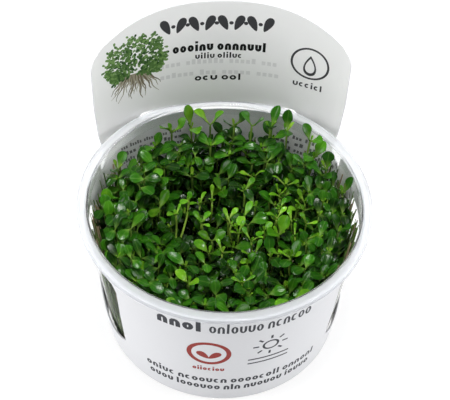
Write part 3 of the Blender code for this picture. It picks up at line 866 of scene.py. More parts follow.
def sprig_shapes():
    """A bush of small leaves over a tangle of pale roots."""
    rng = random.Random(12)
    base_x, base_y = -30.2, 78.4
    shapes = []
    for i in range(34):
        turn = math.radians(-138 + 2.8 * i + rng.uniform(-4, 4))
        length = rng.uniform(5.0, 13.0)
        phase = rng.uniform(0, math.tau)
        path = []
        for step in range(8):
            far = length * step / 7
            sway = 0.55 * math.sin(phase + step * 1.5) * step / 7
            x = base_x + (i - 17) * 0.24 + math.cos(turn) * far * 0.8 + sway
            path.append((x, base_y + math.sin(turn) * far))
        ink = "root_print" if i % 3 else "root_dark"
        shapes.append((ink, [stroke(path, rng.uniform(0.7, 1.1), 0.14)]))
    leaves = []
    for _ in range(760):
        turn = math.radians(rng.uniform(-14, 194))
        reach = (8.0 + 8.8 * max(0.0, math.sin(turn)) ** 1.2) * rng.uniform(0.84, 1.06)
        far = reach * math.sqrt(rng.uniform(0.0, 1))
        x = base_x + math.cos(turn) * far * 1.1
        y = base_y + math.sin(turn) * far
        leaves.append((far / reach, x, y, turn))
    for depth, x, y, turn in sorted(leaves):
        shade = min(2, int(rng.random() * 2.0 + depth * 0.9))
        green = ("green_dark", "green_mid", "green_light")[shade]
        length, width = rng.uniform(1.2, 1.9), rng.uniform(0.9, 1.35)
        shapes.append((green, [leaf_shape(x, y, length, width, turn + rng.uniform(-1.3, 1.3), 8)]))
    return shapes


def drop_shapes():
    """A ring round a plain drop, over a short row of marks."""
    x, y = 32.3, 82.0
    shapes = [("charcoal", [circle(x, y, 7.1), circle(x, y, 6.3)])]
    for size, ink in ((1.0, "charcoal"), (0.72, "card")):
        drop = []
        for i in range(32):
            turn = math.tau * i / 32
            wide = 3.1 * size * math.sin(turn) * math.sin(turn / 2)
            drop.append((x + wide, y - 0.9 + (4.6 * size) * math.cos(turn)))
        shapes.append((ink, [drop]))
    return shapes + inked("charcoal", word_row(x - 5.6, x + 5.6, 70.6, 73.4, [6], random.Random(5), 0.22))


def front_prints():
    """Generic print on the front panel: rows of marks, a red ring with two leaves, a sun over two lines."""
    rng = random.Random(9)
    shapes = inked("slate", word_row(-24.0, -9.0, 46.6, 53.0, [4], rng, 0.24))
    shapes += inked("slate", word_row(-7.2, 26.6, 46.6, 52.6, [7, 6], rng, 0.13))
    shapes += inked("slate", word_row(-31, 34.5, 12.4, 16.4, [5, 7, 8, 6], rng, 0.21))
    shapes += inked("slate", word_row(-30, 33.0, 7.4, 11.4, [4, 7, 3, 6, 5], rng, 0.21))
    x, y = -7.2, 32.8
    shapes.append(("red", [circle(x, y, 7.4), circle(x, y, 5.8)]))
    for tilt in (48, 132):
        shapes.append(("red", [leaf_shape(x, y - 3.4, 5.6, 3.4, math.radians(tilt), 18)]))
    shapes += inked("red", word_row(x - 5.6, x + 5.6, 21.0, 23.6, [8], rng, 0.24))
    x, y = 13.2, 35.6
    shapes.append(("slate", [circle(x, y, 2.9), circle(x, y, 2.1)]))
    for i in range(8):
        turn = math.tau * i / 8
        path = [(x + r * math.cos(turn), y + r * math.sin(turn)) for r in (4.0, 6.0)]
        shapes.append(("slate", [stroke(path, 0.8, 0.8)]))
    for low in (27.2, 24.6):
        shapes.append(("slate", [rounded_box(5.9, low, 20.5, low + 0.8, 0.3)]))
    return shapes


def back_rows():
    """Painted show-through: small dark rows low on the back panel's inner face, for print on its outer face
    seen through the card, as (degrees from the header, height).
    """
    rng = random.Random(21)
    shapes = []
    for side, start, end in ((-1, 16, 51), (1, 27, 69)):
        for row in range(5):
            words = [rng.randint(2, 6) for _ in range(5)]
            low = 45.0 - 2.6 * row
            span = sorted((side * start, side * (end - rng.uniform(0, 8))))
            shapes += inked("soft_grey", small_row(*span, low, low + 1.5, words, rng))
    return shapes


def on_panel(shapes, place):
    """Shapes in metres on the flat card, by the panel's own rule for a place in millimetres."""
    return [(ink, [[place(x, y) for x, y in outline] for outline in outlines]) for ink, outlines in shapes]


def header_panel(x, z):
    return flat(header_angle(x * MM), z * MM)


def front_panel(x, z):
    return flat(math.pi - x / 45.0, z * MM)


def back_panel(degrees, z):
    return flat(math.radians(degrees), z * MM)


# Card sleeve: its mesh
def inside(outline, points):
    """Which of the points lie inside a closed outline."""
    start = np.array(outline)
    end = np.roll(start, -1, axis=0)
    x, y = points[:, :1], points[:, 1:]
    crosses = (start[:, 1] > y) != (end[:, 1] > y)
    rise = end[:, 1] - start[:, 1]
    rise[rise == 0] = 1.0
    reach = start[:, 0] + (y - start[:, 1]) * (end[:, 0] - start[:, 0]) / rise
    return (crosses & (x < reach)).sum(axis=1) % 2 == 1


def covered(outlines, points):
    """Which points an even and odd fill of these outlines covers."""
    found = np.zeros(len(points), bool)
    for outline in outlines:
        corners = np.array(outline)
        near = ((points > corners.min(axis=0)) & (points < corners.max(axis=0))).all(axis=1)
        found[near] ^= inside(outline, points[near])
    return found


def card_sheet(prints, inks):
    """The flat card cut along its outlines, its print and a grid: places, triangles and the ink of each."""
    outlines = [card_outline(), slot_outline(), window_outline(1), window_outline(-1)]
    places, edges = [], []
    for outline in outlines + [outline for _, group in prints for outline in group]:
        first = len(places)
        places += outline
        edges += [(first + i, first + (i + 1) % len(outline)) for i in range(len(outline))]
    seam = math.degrees(SEAM_ANGLE)
    for degrees in np.arange(-seam + COLUMN_DEGREES, 360 - seam, COLUMN_DEGREES):
        x = math.radians(degrees) * FLAT_RADIUS
        edges.append((len(places), len(places) + 1))
        places += [(x, SLEEVE_BOTTOM - MM), (x, HEADER_TOP + MM)]
    for height in np.arange(SPREAD_BOTTOM, SPREAD_TOP + ROW_STEP, ROW_STEP):
        edges.append((len(places), len(places) + 1))
        places += [(-SPREAD_LIMIT, height), (SPREAD_LIMIT, height)]
    found = delaunay_2d_cdt([Vector(place) for place in places], edges, [], 0, 1e-8, False)
    points = np.array([tuple(point) for point in found[0]])
    faces = np.array(found[2])
    centres = points[faces].mean(axis=1)
    kept = covered(outlines, centres)
    faces, centres = faces[kept], centres[kept]
    ink = np.zeros(len(faces), int)
    for name, group in prints:
        ink[covered(group, centres)] = inks.index(name)
    return points, faces, ink


def add_sheet(bm, prints, side):
    """One face of the wrapped card: its places, its vertices, and the edges that bound it."""
    points, faces, ink = card_sheet(prints, list(INKS))
    verts = {}
    for index in np.unique(faces):
        x, height = points[index]
        place = on_sleeve(x, height) + sleeve_normal(x, height) * (side * CARD / 2)
        verts[index] = bm.verts.new(place)
    first, second = points[faces[:, 1]] - points[faces[:, 0]], points[faces[:, 2]] - points[faces[:, 0]]
    turns = first[:, 0] * second[:, 1] - first[:, 1] * second[:, 0]
    edges = {}
    for corners, colour, turn in zip(faces, ink, turns):
        ring = corners[::-1] if (turn > 0) == (side > 0) else corners
        face = bm.faces.new([verts[i] for i in ring])
        face.material_index = 1 if side < 0 and colour == 0 else int(colour)
        edges.update({(int(ring[i]), int(ring[(i + 1) % 3])): face for i in range(3)})
    return points, verts, [(a, b) for a, b in edges if (b, a) not in edges]


def add_sleeve():
    outside = on_panel(front_prints(), front_panel)
    rng = random.Random(4)
    rows = inked("slate", word_row(-21, 21, 77.2, 80.4, [3, 5, 7, 4], rng))
    rows += inked("slate", word_row(-22, 21, 72.0, 75.2, [4, 5, 3, 6], rng))
    outside += on_panel(rows, header_panel)
    within = on_panel(header_prints(), header_panel) + on_panel(back_rows(), back_panel)
    bm = bmesh.new()
    join_rims(bm, [add_sheet(bm, outside, 1), add_sheet(bm, within, -1)])
    bmesh.ops.remove_doubles(bm, verts=bm.verts, dist=0.002 * MM)
    mesh = bpy.data.meshes.new("printed_sleeve")
    bm.to_mesh(mesh)
    bm.free()
    mesh.shade_smooth()
    mesh.set_sharp_from_angle(angle=math.radians(40))
    materials = [paper_material(name, *look) for name, look in INKS.items()]
    return add_object("printed_sleeve", mesh, materials, "white_card", "label_sleeve")


def join_rims(bm, sheets):
    """Closes the card's cut edges between its outer and its inner sheet."""
    (outer, outer_verts, rim), (inner, inner_verts, _) = sheets
    tree = KDTree(len(inner_verts))
    for index in inner_verts:
        tree.insert((*inner[index], 0.0), int(index))
    tree.balance()
    seams = [-SEAM_ANGLE * FLAT_RADIUS, (math.tau - SEAM_ANGLE) * FLAT_RADIUS]
    for a, b in rim:
        if any(abs(outer[a][0] - seam) < 1e-6 and abs(outer[b][0] - seam) < 1e-6 for seam in seams):
            continue
        across = [inner_verts[tree.find((*outer[i], 0.0))[1]] for i in (a, b)]
        bm.faces.new((outer_verts[b], outer_verts[a], across[0], across[1]))


# Plants: where the shoots stand, as the part places them
class Shoot:
    """One upright stem with a pair of opposite leaves at its top node."""

    def __init__(self, rng, node, heading, stalk):
        self.node = Vector(node)
        self.heading = heading
        self.leaves = []
        for turn in (0.0, math.pi):
            leaf = {
                "heading": heading + turn + rng.uniform(*HEADING_SPREAD),
                "stalk": stalk * rng.uniform(*STALK_SPREAD),
                "stalk_rise": math.radians(rng.uniform(*STALK_RISE)),
                "blade": rng.uniform(*BLADES),
                "blade_rise": math.radians(rng.uniform(*BLADE_RISE)),
                "half_width": rng.uniform(*HALF_WIDTHS),
                "roll": math.radians(rng.uniform(*ROLLS)),
            }
            self.leaves.append(leaf)
        self.bend = rng.uniform(*STEM_BEND)
        self.foot = None
        self.stemless = self.forked = False


def leaf_direction(heading, rise):
    return Vector((math.cos(heading) * math.cos(rise), math.sin(heading) * math.cos(rise), math.sin(rise)))


def leaf_sections(shoot, leaf, grow):
    """Sections of three points from the stalk's top outwards, and the tip. grow makes all of them thicker."""
    stalk_end = shoot.node + leaf_direction(leaf["heading"], leaf["stalk_rise"]) * leaf["stalk"]
    along = leaf_direction(leaf["heading"], leaf["blade_rise"])
    level = Vector((-math.sin(leaf["heading"]), math.cos(leaf["heading"]), 0.0))
    across = level * math.cos(leaf["roll"]) + along.cross(level) * math.sin(leaf["roll"])
    up = along.cross(across)
    if up.z < 0:
        up.negate()
    half = STALK_HALF + grow
    sections = [(stalk_end - level * half, stalk_end + level * half, stalk_end - up * (STALK_DEPTH + grow))]
    for far, width, depth, lift in BLADE_SECTIONS:
        middle = stalk_end + along * (leaf["blade"] * far)
        half = leaf["half_width"] * width + grow
        raised = middle + up * (half * lift + grow)
        sections.append((raised - across * half, raised + across * half, middle - up * (depth + grow)))
    tip = stalk_end + along * (leaf["blade"] + grow) + up * TIP_LIFT
    return sections, tip


def extend(bm, ring, rows, tip=None):
    """Skins from a ring of three vertices over rows of three points, to a tip or a flat cap."""
    for row in rows:
        after = [bm.verts.new(point) for point in row]
        for i in range(3):
            j = (i + 1) % 3
            bm.faces.new((ring[i], ring[j], after[j], after[i]))
        ring = after
    if tip is None:
        bm.faces.new(ring)
        return
    end = bm.verts.new(tip)
    for i in range(3):
        bm.faces.new((ring[i], ring[(i + 1) % 3], end))


def stem_middle(shoot):
    """The point that a bent stem passes at half of its height."""
    lean = Vector((shoot.node.x - shoot.foot.x, shoot.node.y - shoot.foot.y, 0.0))
    return shoot.foot.lerp(shoot.node, 0.5) + lean * shoot.bend


def stem_rows(shoot, grow):
    """Rows of three points down the bent stem, from under the node to its foot in the crown."""
    ahead = polar(1.0, shoot.heading)
    level = Vector((-ahead.y, ahead.x, 0.0))
    sides = (-level, (level + ahead * math.sqrt(3)) / 2, (level - ahead * math.sqrt(3)) / 2)
    rows = []
    for place, radius in ((stem_middle(shoot), STEM_RADIUS), (shoot.foot, STEM_FOOT_RADIUS)):
        rows.append([place + side * (radius + grow) for side in sides])
    return rows


def shoot_mesh(shoot, grow=0.0):
    """A shoot as one closed skin: a small four-cornered node, with two leaves and the stem on its faces."""
    bm = bmesh.new()
    ahead = polar(1.0, shoot.heading)
    level = Vector((-ahead.y, ahead.x, 0.0))
    keel = shoot.node - Vector((0, 0, NODE_DEPTH + grow))
    left = bm.verts.new(shoot.node - level * (STEM_RADIUS + grow))
    right = bm.verts.new(shoot.node + level * (STEM_RADIUS + grow))
    front = bm.verts.new(keel + ahead * (STEM_RADIUS + grow))
    rear = bm.verts.new(keel - ahead * (STEM_RADIUS + grow))
    extend(bm, (left, right, front), *leaf_sections(shoot, shoot.leaves[0], grow))
    extend(bm, (right, left, rear), *leaf_sections(shoot, shoot.leaves[1], grow))
    extend(bm, (left, front, rear), stem_rows(shoot, grow))
    bm.faces.new((right, front, rear))
    bmesh.ops.recalc_face_normals(bm, faces=bm.faces)
    bmesh.ops.triangulate(bm, faces=bm.faces)
    return bm


def crown_places():
    """Even places over the gel, by the rule that seeds follow in a sunflower."""
    places = []
    for i in range(PLANTLETS):
        radius = CROWN_SPREAD * math.sqrt((i + 0.5) / PLANTLETS)
        turn = i * GOLDEN_ANGLE
        places.append(polar(radius, turn, GEL_TOP + GAP))
    return places


def inside_cup(bm, top):
    """Whether a skin clears the cup's wall and stays under a height."""
    for vert in bm.verts:
        limit = cup_inside(min(vert.co.z, FLANGE_TOP)) - WALL_CLEARANCE
        if vert.co.z < FLANGE_TOP + RIM_ZONE and math.hypot(vert.co.x, vert.co.y) > limit:
            return False
        if vert.co.z > top:
            return False
    return True


def search_tree(bm, above=0.0):
    """Tree of the faces that are wholly above a height, for the overlap test."""
    bm.verts.index_update()
    points = [vert.co.copy() for vert in bm.verts]
    kept = [face for face in bm.faces if min(vert.co.z for vert in face.verts) > above]
    return BVHTree.FromPolygons(points, [[vert.index for vert in face.verts] for face in kept])


def root_shoot(shoot, crowns):
    """Sets the crown that a shoot grows from, which is the nearest one, and its foot there."""
    shoot.owner = min(range(len(crowns)), key=lambda k: (crowns[k].xy - shoot.node.xy).length)
    crown = crowns[shoot.owner]
    outwards = (shoot.node - crown).xy
    outwards = outwards.normalized() * min(outwards.length, FOOT_OFFSET)
    shoot.foot = crown + Vector((outwards.x, outwards.y, FOOT_DEPTH))


def place_shoot(shoot, crowns, placed, top):
    """Roots the shoot in the nearest crown and keeps it if it clears the wall and the shoots there are."""
    root_shoot(shoot, crowns)
    skin = shoot_mesh(shoot, SHOOT_CLEARANCE)
    fits = inside_cup(skin, top)
    shoot.whole = search_tree(skin)
    shoot.upper = search_tree(skin, GEL_TOP + GAP + CROWN_HEIGHT)
    skin.free()
    if not fits:
        return
    for other in placed:
        same = other.owner == shoot.owner
        if shoot.upper.overlap(other.upper) if same else shoot.whole.overlap(other.whole):
            return
    placed.append(shoot)


def bell(node, place, reach):
    """1 at a place in plan, falling off around it."""
    far = (node.xy - Vector(place)).length / reach
    return math.exp(-far * far)


def mat_dip(node):
    """How much lower the mat is here, in the hollow behind its middle."""
    return DIP_DEPTH * bell(node, DIP_PLACE, DIP_REACH)


def roomiest_node(rng, placed):
    """Of a few random places in the mat, the one that is farthest from every node already there."""
    best, best_room = None, -1.0
    for _ in range(NODE_CHOICES):
        radius = NODE_REACH * math.sqrt(rng.random())
        turn = rng.uniform(0, math.tau)
        height = NODE_HIGHEST - (NODE_HIGHEST - NODE_LOWEST) * rng.random() ** NODE_CROWDING
        node = polar(radius, turn, height)
        node.z -= mat_dip(node)
        room = min(math.hypot((node - other.node).xy.length, (node - other.node).z / 2) for other in placed)
        if room > best_room:
            best, best_room = node, room
    return best


def pair_heading(rng, node):
    """Any heading in the open, and along the wall beside it, where a pair fits only that way."""
    if node.xy.length < WALL_ZONE:
        return rng.uniform(0, math.tau)
    return math.atan2(node.y, node.x) + math.pi / 2 + rng.uniform(-WALL_TURN, WALL_TURN)


def grow_shoots(crowns):
    """All shoots that find room, the tallest first, each with the number of the crown that it grows from."""
    rng = random.Random(SEED)
    placed = []
    for x, y, z, heading, stalk in TALL_SHOOTS:
        before = len(placed)
        for _ in range(TALL_TRIES):
            if len(placed) == before:
                shoot = Shoot(rng, (x * MM, y * MM, z * MM), math.radians(heading), stalk * MM)
                place_shoot(shoot, crowns, placed, HEADER_TOP)
    for _ in range(TRIES):
        if len(placed) < SHOOTS:
            node = roomiest_node(rng, placed)
            shoot = Shoot(rng, node, pair_heading(rng, node), rng.uniform(*STALKS))
            place_shoot(shoot, crowns, placed, MAT_TOP)
    return placed


def leaves_clear(shoot, others, top=MAT_TOP):
    """Whether the shoot's leaves stay off the wall and off all leaves that are near."""
    skin = shoot_mesh(shoot)
    fits = inside_cup(skin, top)
    shoot.whole = search_tree(skin, shoot.node.z - LEAF_ZONE)
    skin.free()
    if not fits:
        return False
    near = [other for other in others if (other.node - shoot.node).length < NEAR]
    return not any(shoot.whole.overlap(other.whole) for other in near)


def light_left(node):
    """The share of the light that is left here, least in the middle of the hollow."""
    return 1 - HOLLOW_PAINTED_SHADE * bell(node, DIP_PLACE, PAINTED_SHADE_REACH)


def pale_dip(node):
    """How much lower the small leaves are where most of the pale shoots stand."""
    return PALE_DIP_DEPTH * bell(node, PALE_DIP_PLACE, PALE_DIP_REACH)


def filler_node(rng):
    """Anywhere in the cup, and part of the time in the ring beside the wall, higher up at the back."""
    turn = rng.uniform(0, math.tau)
    if rng.random() < WALL_FILLERS:
        radius = rng.uniform(WALL_FILLER_INSIDE, NODE_REACH)
        low, high = WALL_FILLER_HEIGHTS
        if math.sin(turn) < 0:
            high = FILLER_HIGHEST
        high += (SIDE_FILLER_HIGHEST - high) * smooth_rise(abs(math.cos(turn)), *SIDE_ZONE)
        return polar(radius, turn, rng.uniform(low, high))
    radius = NODE_REACH * math.sqrt(rng.random())
    node = polar(radius, turn, rng.uniform(FILLER_LOWEST, FILLER_HIGHEST))
    node.z -= FILLER_DIP * mat_dip(node) + pale_dip(node)
    return node


def fork(shoot, rng):
    """A twig that leaves a pale shoot's stem on its way up, with a small pair of leaves of its own."""
    turn, reach = rng.uniform(0, math.tau), rng.uniform(*PALE_FORK_REACH)
    aside = polar(reach, turn, rng.uniform(*PALE_FORK_RISE) * MM)
    twig = Shoot(rng, shoot.node + aside, turn + rng.uniform(-0.5, 0.5), rng.uniform(*FORK_STALKS) * MM)
    reshape(twig, rng, FORK_SCALE)
    twig.foot, twig.owner, twig.bend = stem_point(shoot, PALE_FORK), shoot.owner, FORK_BEND
    twig.forked = True
    return twig


def grow_pale(crowns, placed):
    """Pale young shoots: long steep stalks with narrow leaves, on bent stems."""
    rng = random.Random(PALE_SEED)
    pale = []
    for _ in range(PALE_TRIES):
        if len(pale) >= PALE_SHOOTS:
            break
        x, y = (rng.gauss(middle, spread) for middle, spread in zip(PALE_MIDDLE, PALE_SPREAD))
        node = Vector((x, y, rng.uniform(*PALE_HEIGHTS)))
        shoot = Shoot(rng, node, rng.uniform(0, math.tau), rng.uniform(*PALE_STALKS) * MM)
        for leaf in shoot.leaves:
            leaf["stalk_rise"] = math.radians(rng.uniform(*PALE_STALK_RISE))
            leaf["blade_rise"] = math.radians(rng.uniform(*PALE_BLADE_RISE))
            leaf["blade"] = rng.uniform(*PALE_BLADES) * MM
            leaf["half_width"] = leaf["blade"] * rng.uniform(*PALE_WIDTHS)
        root_shoot(shoot, crowns)
        if node.xy.length < NODE_REACH - 2 * MM and leaves_clear(shoot, placed + pale):
            pale.append(shoot)
            if rng.random() < PALE_FORKED:
                twig = fork(shoot, rng)
                if leaves_clear(twig, placed + pale):
                    pale.append(twig)
    return pale


def grow_fillers(crowns, placed):
    """Lower leaf pairs on the main stems, then smaller shoots in the room that is left."""
    rng = random.Random(FILLER_SEED)
    fillers = []
    for main in placed:
        for share in (rng.uniform(*LOWER_PAIR), rng.uniform(*UPPER_PAIR)):
            pair = Shoot(rng, stem_point(main, share), main.heading + math.pi / 2, rng.uniform(1.2, 2.4) * MM)
            reshape(pair, rng, PAIR_SCALE)
            pair.foot, pair.owner, pair.bend = main.foot, main.owner, 0.0
            pair.stemless = True
            if leaves_clear(pair, [other for other in placed + fillers if other is not main]):
                fillers.append(pair)
    for _ in range(FILLER_TRIES):
        if len(fillers) >= FILLERS:
            break
        node = filler_node(rng)
        shoot = Shoot(rng, node, pair_heading(rng, node), rng.uniform(1.2, 3.0) * MM)
        reshape(shoot, rng, HIGH_SCALE if node.z > HIGH_FILLER else LOW_SCALE)
        root_shoot(shoot, crowns)
        at_back = node.y > 0 and node.xy.length > WALL_FILLER_INSIDE
        high = WALL_FILLER_TOP if at_back or abs(node.x) > SIDE_OUTSIDE else MAT_TOP
        if node.z > FILLER_LOWEST and leaves_clear(shoot, placed + fillers, high):
            fillers.append(shoot)
    return fillers


def reshape(shoot, rng, scales):
    """Makes a filler's leaves smaller and some of them steeper."""
    scale = rng.uniform(*scales)
    for leaf in shoot.leaves:
        for size in ("blade", "half_width", "stalk"):
            leaf[size] *= scale
        towards_light = TOWARDS_LIGHT * math.sin(leaf["heading"])
        leaf["blade_rise"] = math.radians(rng.uniform(*FILLER_RISE) + towards_light)


def stem_point(shoot, share):
    """A point this share of the way up the stem's curve."""
    middle = stem_middle(shoot)
    control = middle * 2 - (shoot.foot + shoot.node) / 2
    return shoot.foot * (1 - share) ** 2 + control * (2 * share * (1 - share)) + shoot.node * share**2


# Plants: the fine meshes
class Skin:
    """Points, faces and their looks of one plantlet, gathered from rings."""

    def __init__(self):
        self.points, self.faces, self.tints, self.places, self.slots = [], [], [], [], []
        self.count = 0

    def add(self, rings, tints, places, slot=0, tip=None):
        """Skins over rings of points, closed flat at the start and by a tip or flat at the end."""
        rows, sides = rings.shape[:2]
        first = self.count
        self.points.append(rings.reshape(-1, 3))
        self.tints.append(np.repeat(tints, sides, axis=0))
        self.places.append(places.reshape(-1, 3))
        for row in range(rows - 1):
            low = first + row * sides
            for i in range(sides):
                j = (i + 1) % sides
                self.faces.append((low + i, low + j, low + sides + j, low + sides + i))
        self.faces.append(tuple(first + i for i in reversed(range(sides))))
        last = first + (rows - 1) * sides
        self.count += rows * sides
        made = (rows - 1) * sides + 1
        if tip is None:
            self.faces.append(tuple(last + i for i in range(sides)))
            made += 1
        else:
            self.points.append(np.array([tip]))
            self.tints.append(tints[-1:])
            self.places.append(np.array([[0.0, 1.0, places[-1, 0, 2]]]))
            self.faces += [(last + i, last + (i + 1) % sides, self.count) for i in range(sides)]
            self.count += 1
            made += sides
        self.slots += [slot] * made

    def mesh(self, name):
        mesh = bpy.data.meshes.new(name)
        mesh.from_pydata(np.concatenate(self.points).tolist(), [], self.faces)
        mesh.polygons.foreach_set("material_index", self.slots)
        tint = mesh.attributes.new("tint", "FLOAT_COLOR", "POINT")
        colours = np.concatenate(self.tints)
        tint.data.foreach_set("color", np.hstack([colours, np.ones((len(colours), 1))]).ravel())
        place = mesh.attributes.new("place", "FLOAT_VECTOR", "POINT")
        place.data.foreach_set("vector", np.concatenate(self.places).ravel())
        mesh.shade_smooth()
        return mesh


FINE = {
    "across": np.array([-1.0, -0.82, -0.4, 0.0, 0.4, 0.82, 1.0, 0.6, 0.0, -0.6]),
    "upper": 7,
    "petiole": (0.0, 0.5, 1.0),
    "corner": (0.35, 0.7, 1.0),
    "blade": (0.38, 0.5, 0.62, 0.74, 0.84, 0.92, 0.97),
}
PLAIN = {
    "across": np.array([-1.0, -0.55, 0.0, 0.55, 1.0, 0.55, 0.0, -0.55]),
    "upper": 5,
    "petiole": (0.0, 1.0),
    "corner": (0.5, 1.0),
    "blade": (0.42, 0.6, 0.76, 0.89, 0.96),
}
CORNER_SHARE = 0.26


def unit(vector):
    return vector / np.linalg.norm(vector)


def add_leaf(skin, node, leaf, looks, rng, form):
    """One closed leaf: a round petiole that widens into a spoon-shaped, slightly cupped blade."""
    heading, blade, half_width = leaf["heading"], leaf["blade"], leaf["half_width"]
    start = np.array(node)
    rise = np.array(leaf_direction(heading, leaf["stalk_rise"]))
    along = np.array(leaf_direction(heading, leaf["blade_rise"]))
    corner = start + rise * leaf["stalk"]
    bend_start = corner - rise * leaf["stalk"] * 0.5
    bend_end = corner + along * blade * CORNER_SHARE
    level = np.array((-math.sin(heading), math.cos(heading), 0.0))
    droop = looks["droop"] * blade
    exponent = rng.uniform(0.9, 1.35)
    widest = rng.uniform(0.48, 0.58)
    curl = looks["curl"]
    centres, widths, depths, rolls, spots = [], [], [], [], []
    for t in form["petiole"]:
        centres.append(start + (bend_start - start) * t)
        spots.append(-0.5 * (1 - t) - 0.12)
    for t in form["corner"]:
        centres.append(bend_start * (1 - t) ** 2 + corner * (2 * t * (1 - t)) + bend_end * t**2)
        spots.append(-0.12 + (CORNER_SHARE + 0.12) * t)
    for t in form["blade"]:
        centres.append(corner + along * blade * t)
        spots.append(t)
    centres, spots = np.array(centres), np.array(spots)
    tip = corner + along * blade
    for t in spots:
        if t < widest:
            swell = max(0.0, (t + 0.12) / (widest + 0.12))
            width = PETIOLE_RADIUS + (half_width - PETIOLE_RADIUS) * math.sin(math.pi / 2 * swell) ** exponent
        else:
            width = half_width * math.sqrt(max(0.0, 1 - ((t - widest) / (1 - widest)) ** 2))
        widths.append(width)
        swell = smooth_rise(t, -0.1, 0.35)
        depths.append((0.30 - 0.13 * swell) * MM * looks["depth"])
        rolls.append(leaf["roll"] * smooth_rise(t, -0.3, 0.4))
    tangents = np.gradient(centres, axis=0)
    rings = np.empty((len(spots), len(form["across"]), 3))
    across = form["across"]
    top = np.arange(len(across)) < form["upper"]
    round_off = np.sqrt(np.clip(1 - across**2, 0.02, 1))
    for i, t in enumerate(spots):
        ahead = unit(tangents[i])
        side = unit(level * math.cos(rolls[i]) + np.cross(ahead, level) * math.sin(rolls[i]))
        upward = np.cross(ahead, side)
        upward = upward if upward[2] > 0 or abs(leaf["blade_rise"]) > 1.2 else -upward
        flatness = smooth_rise(t, -0.05, 0.4)
        spread = widths[i] * flatness * across
        lift = curl * spread * across + looks["wave"] * spread * math.sin(5 * t)
        body = depths[i] * round_off * np.where(top, 1.0, -1.0)
        body[~top] *= 0.9
        sag = -droop * max(0.0, t) ** 2
        offset = (lift + body + sag)[:, None] * upward + (widths[i] * across)[:, None] * side
        rings[i] = centres[i] + offset
    tip_up = np.cross(unit(tangents[-1]), level)
    tip_up = tip_up if tip_up[2] > 0 else -tip_up
    tip = tip - tip_up * droop
    stalkness = np.array([1 - smooth_rise(t, -0.25, 0.32) for t in spots])
    age = looks["age"] + 0.25 * stalkness
    tints = np.stack([age, np.full(len(spots), looks["shade"]), stalkness * 0.85], axis=1)
    places = np.empty((len(spots), len(across), 3))
    places[..., 0] = across
    places[..., 1] = np.clip(spots, 0, 1)[:, None]
    places[..., 2] = rng.random()
    skin.add(rings, tints, places, 0, tip)


def add_tube(skin, path, radii, tints, slot=0, sides=7):
    """A round tube along a path."""
    path = np.array(path)
    tangents = np.gradient(path, axis=0)
    rings = np.empty((len(path), sides, 3))
    turns = np.arange(sides) * math.tau / sides
    reference = np.array((0.3, 0.9, 0.1))
    for i, point in enumerate(path):
        ahead = unit(tangents[i])
        side = unit(np.cross(ahead, reference))
        other = np.cross(ahead, side)
        rings[i] = point + radii[i] * (np.cos(turns)[:, None] * side + np.sin(turns)[:, None] * other)
    places = np.zeros((len(path), sides, 3))
    skin.add(rings, np.array(tints), places, slot)


def add_pale_stem(skin, shoot, rng):
    """A thin light stem, which bends to and fro on its way up unless it is a twig."""
    turn = rng.uniform(0, math.tau)
    side = polar(1.0, turn) * PALE_SWAY * rng.uniform(0.4, 1.0)
    path, radii, tints = [], [], []
    for step in range(15):
        share = step / 14
        sway = math.sin(share * math.pi * 2.6) * smooth_rise(share, 0.2, 0.6) * (1 - share) * 1.6
        # Painted shade: the stem's light level is low deep in the mat and rises towards the node; a twig
        # keeps it full
        light = 0.2 + 0.8 * smooth_rise(share, 0.3, 0.7)
        if shoot.forked:
            sway, light = 0.0, 1.0
        path.append(stem_point(shoot, share) + side * sway)
        radii.append((0.42 - 0.1 * share) * MM)
        tints.append((1.0, light, 0.45))
    add_tube(skin, path, radii, tints)


def add_stem(skin, shoot, rng, thickness):
    """The stem, a little swollen at its top node, with an older colour and painted shade towards its foot."""
    shares = (0.0, 0.18, 0.36, 0.54, 0.72, 0.88, 0.97, 1.0)
    path = [stem_point(shoot, share) for share in shares]
    path[-1] = shoot.node + Vector((0, 0, 0.25 * MM))
    radii = [thickness * (1.2 - 0.35 * share) for share in shares]
    radii[-2] = thickness * 1.15
    radii[-1] = thickness * 0.7
    bright = rng.uniform(0.3, 0.7)
    tints = []
    for share in shares:
        stalk = 0.9 * smooth_rise(share, 0.2, 0.8)
        # Painted shade: the light level falls from a random level at the node towards the foot
        tints.append((0.35 + 0.35 * share, bright * (0.35 + 0.65 * share), stalk))
    add_tube(skin, path, radii, tints)


def add_bud(skin, node, heading, rng, size):
    """Two small upright young leaves, folded towards each other between the pair."""
    for turn in (0.0, math.pi):
        leaf = {
            "heading": heading + math.pi / 2 + turn + rng.uniform(-0.4, 0.4),
            "stalk": size * rng.uniform(0.45, 0.7),
            "stalk_rise": math.radians(rng.uniform(62, 80)),
            "blade": size * rng.uniform(0.9, 1.3),
            "blade_rise": math.radians(rng.uniform(48, 74)),
            "half_width": size * rng.uniform(0.26, 0.40),
            "roll": math.radians(rng.uniform(-15, 15)),
        }
        looks = {
            "age": rng.uniform(0.66, 0.9),
            "shade": rng.uniform(0.4, 0.75),
            "curl": rng.uniform(0.3, 0.7),
            "droop": rng.uniform(-0.1, 0.05),
            "wave": 0.0,
            "depth": 0.7,
        }
        add_leaf(skin, node, leaf, looks, rng, PLAIN)


def leaf_looks(rng, age, shade):
    return {
        "age": age + rng.uniform(-0.1, 0.1),
        "shade": min(1.0, max(0.0, shade + rng.uniform(-0.25, 0.25))),
        "curl": rng.uniform(0.12, 0.5),
        "droop": rng.uniform(0.04, 0.3),
        "wave": rng.uniform(-0.07, 0.07),
        "depth": rng.uniform(0.9, 1.15),
    }


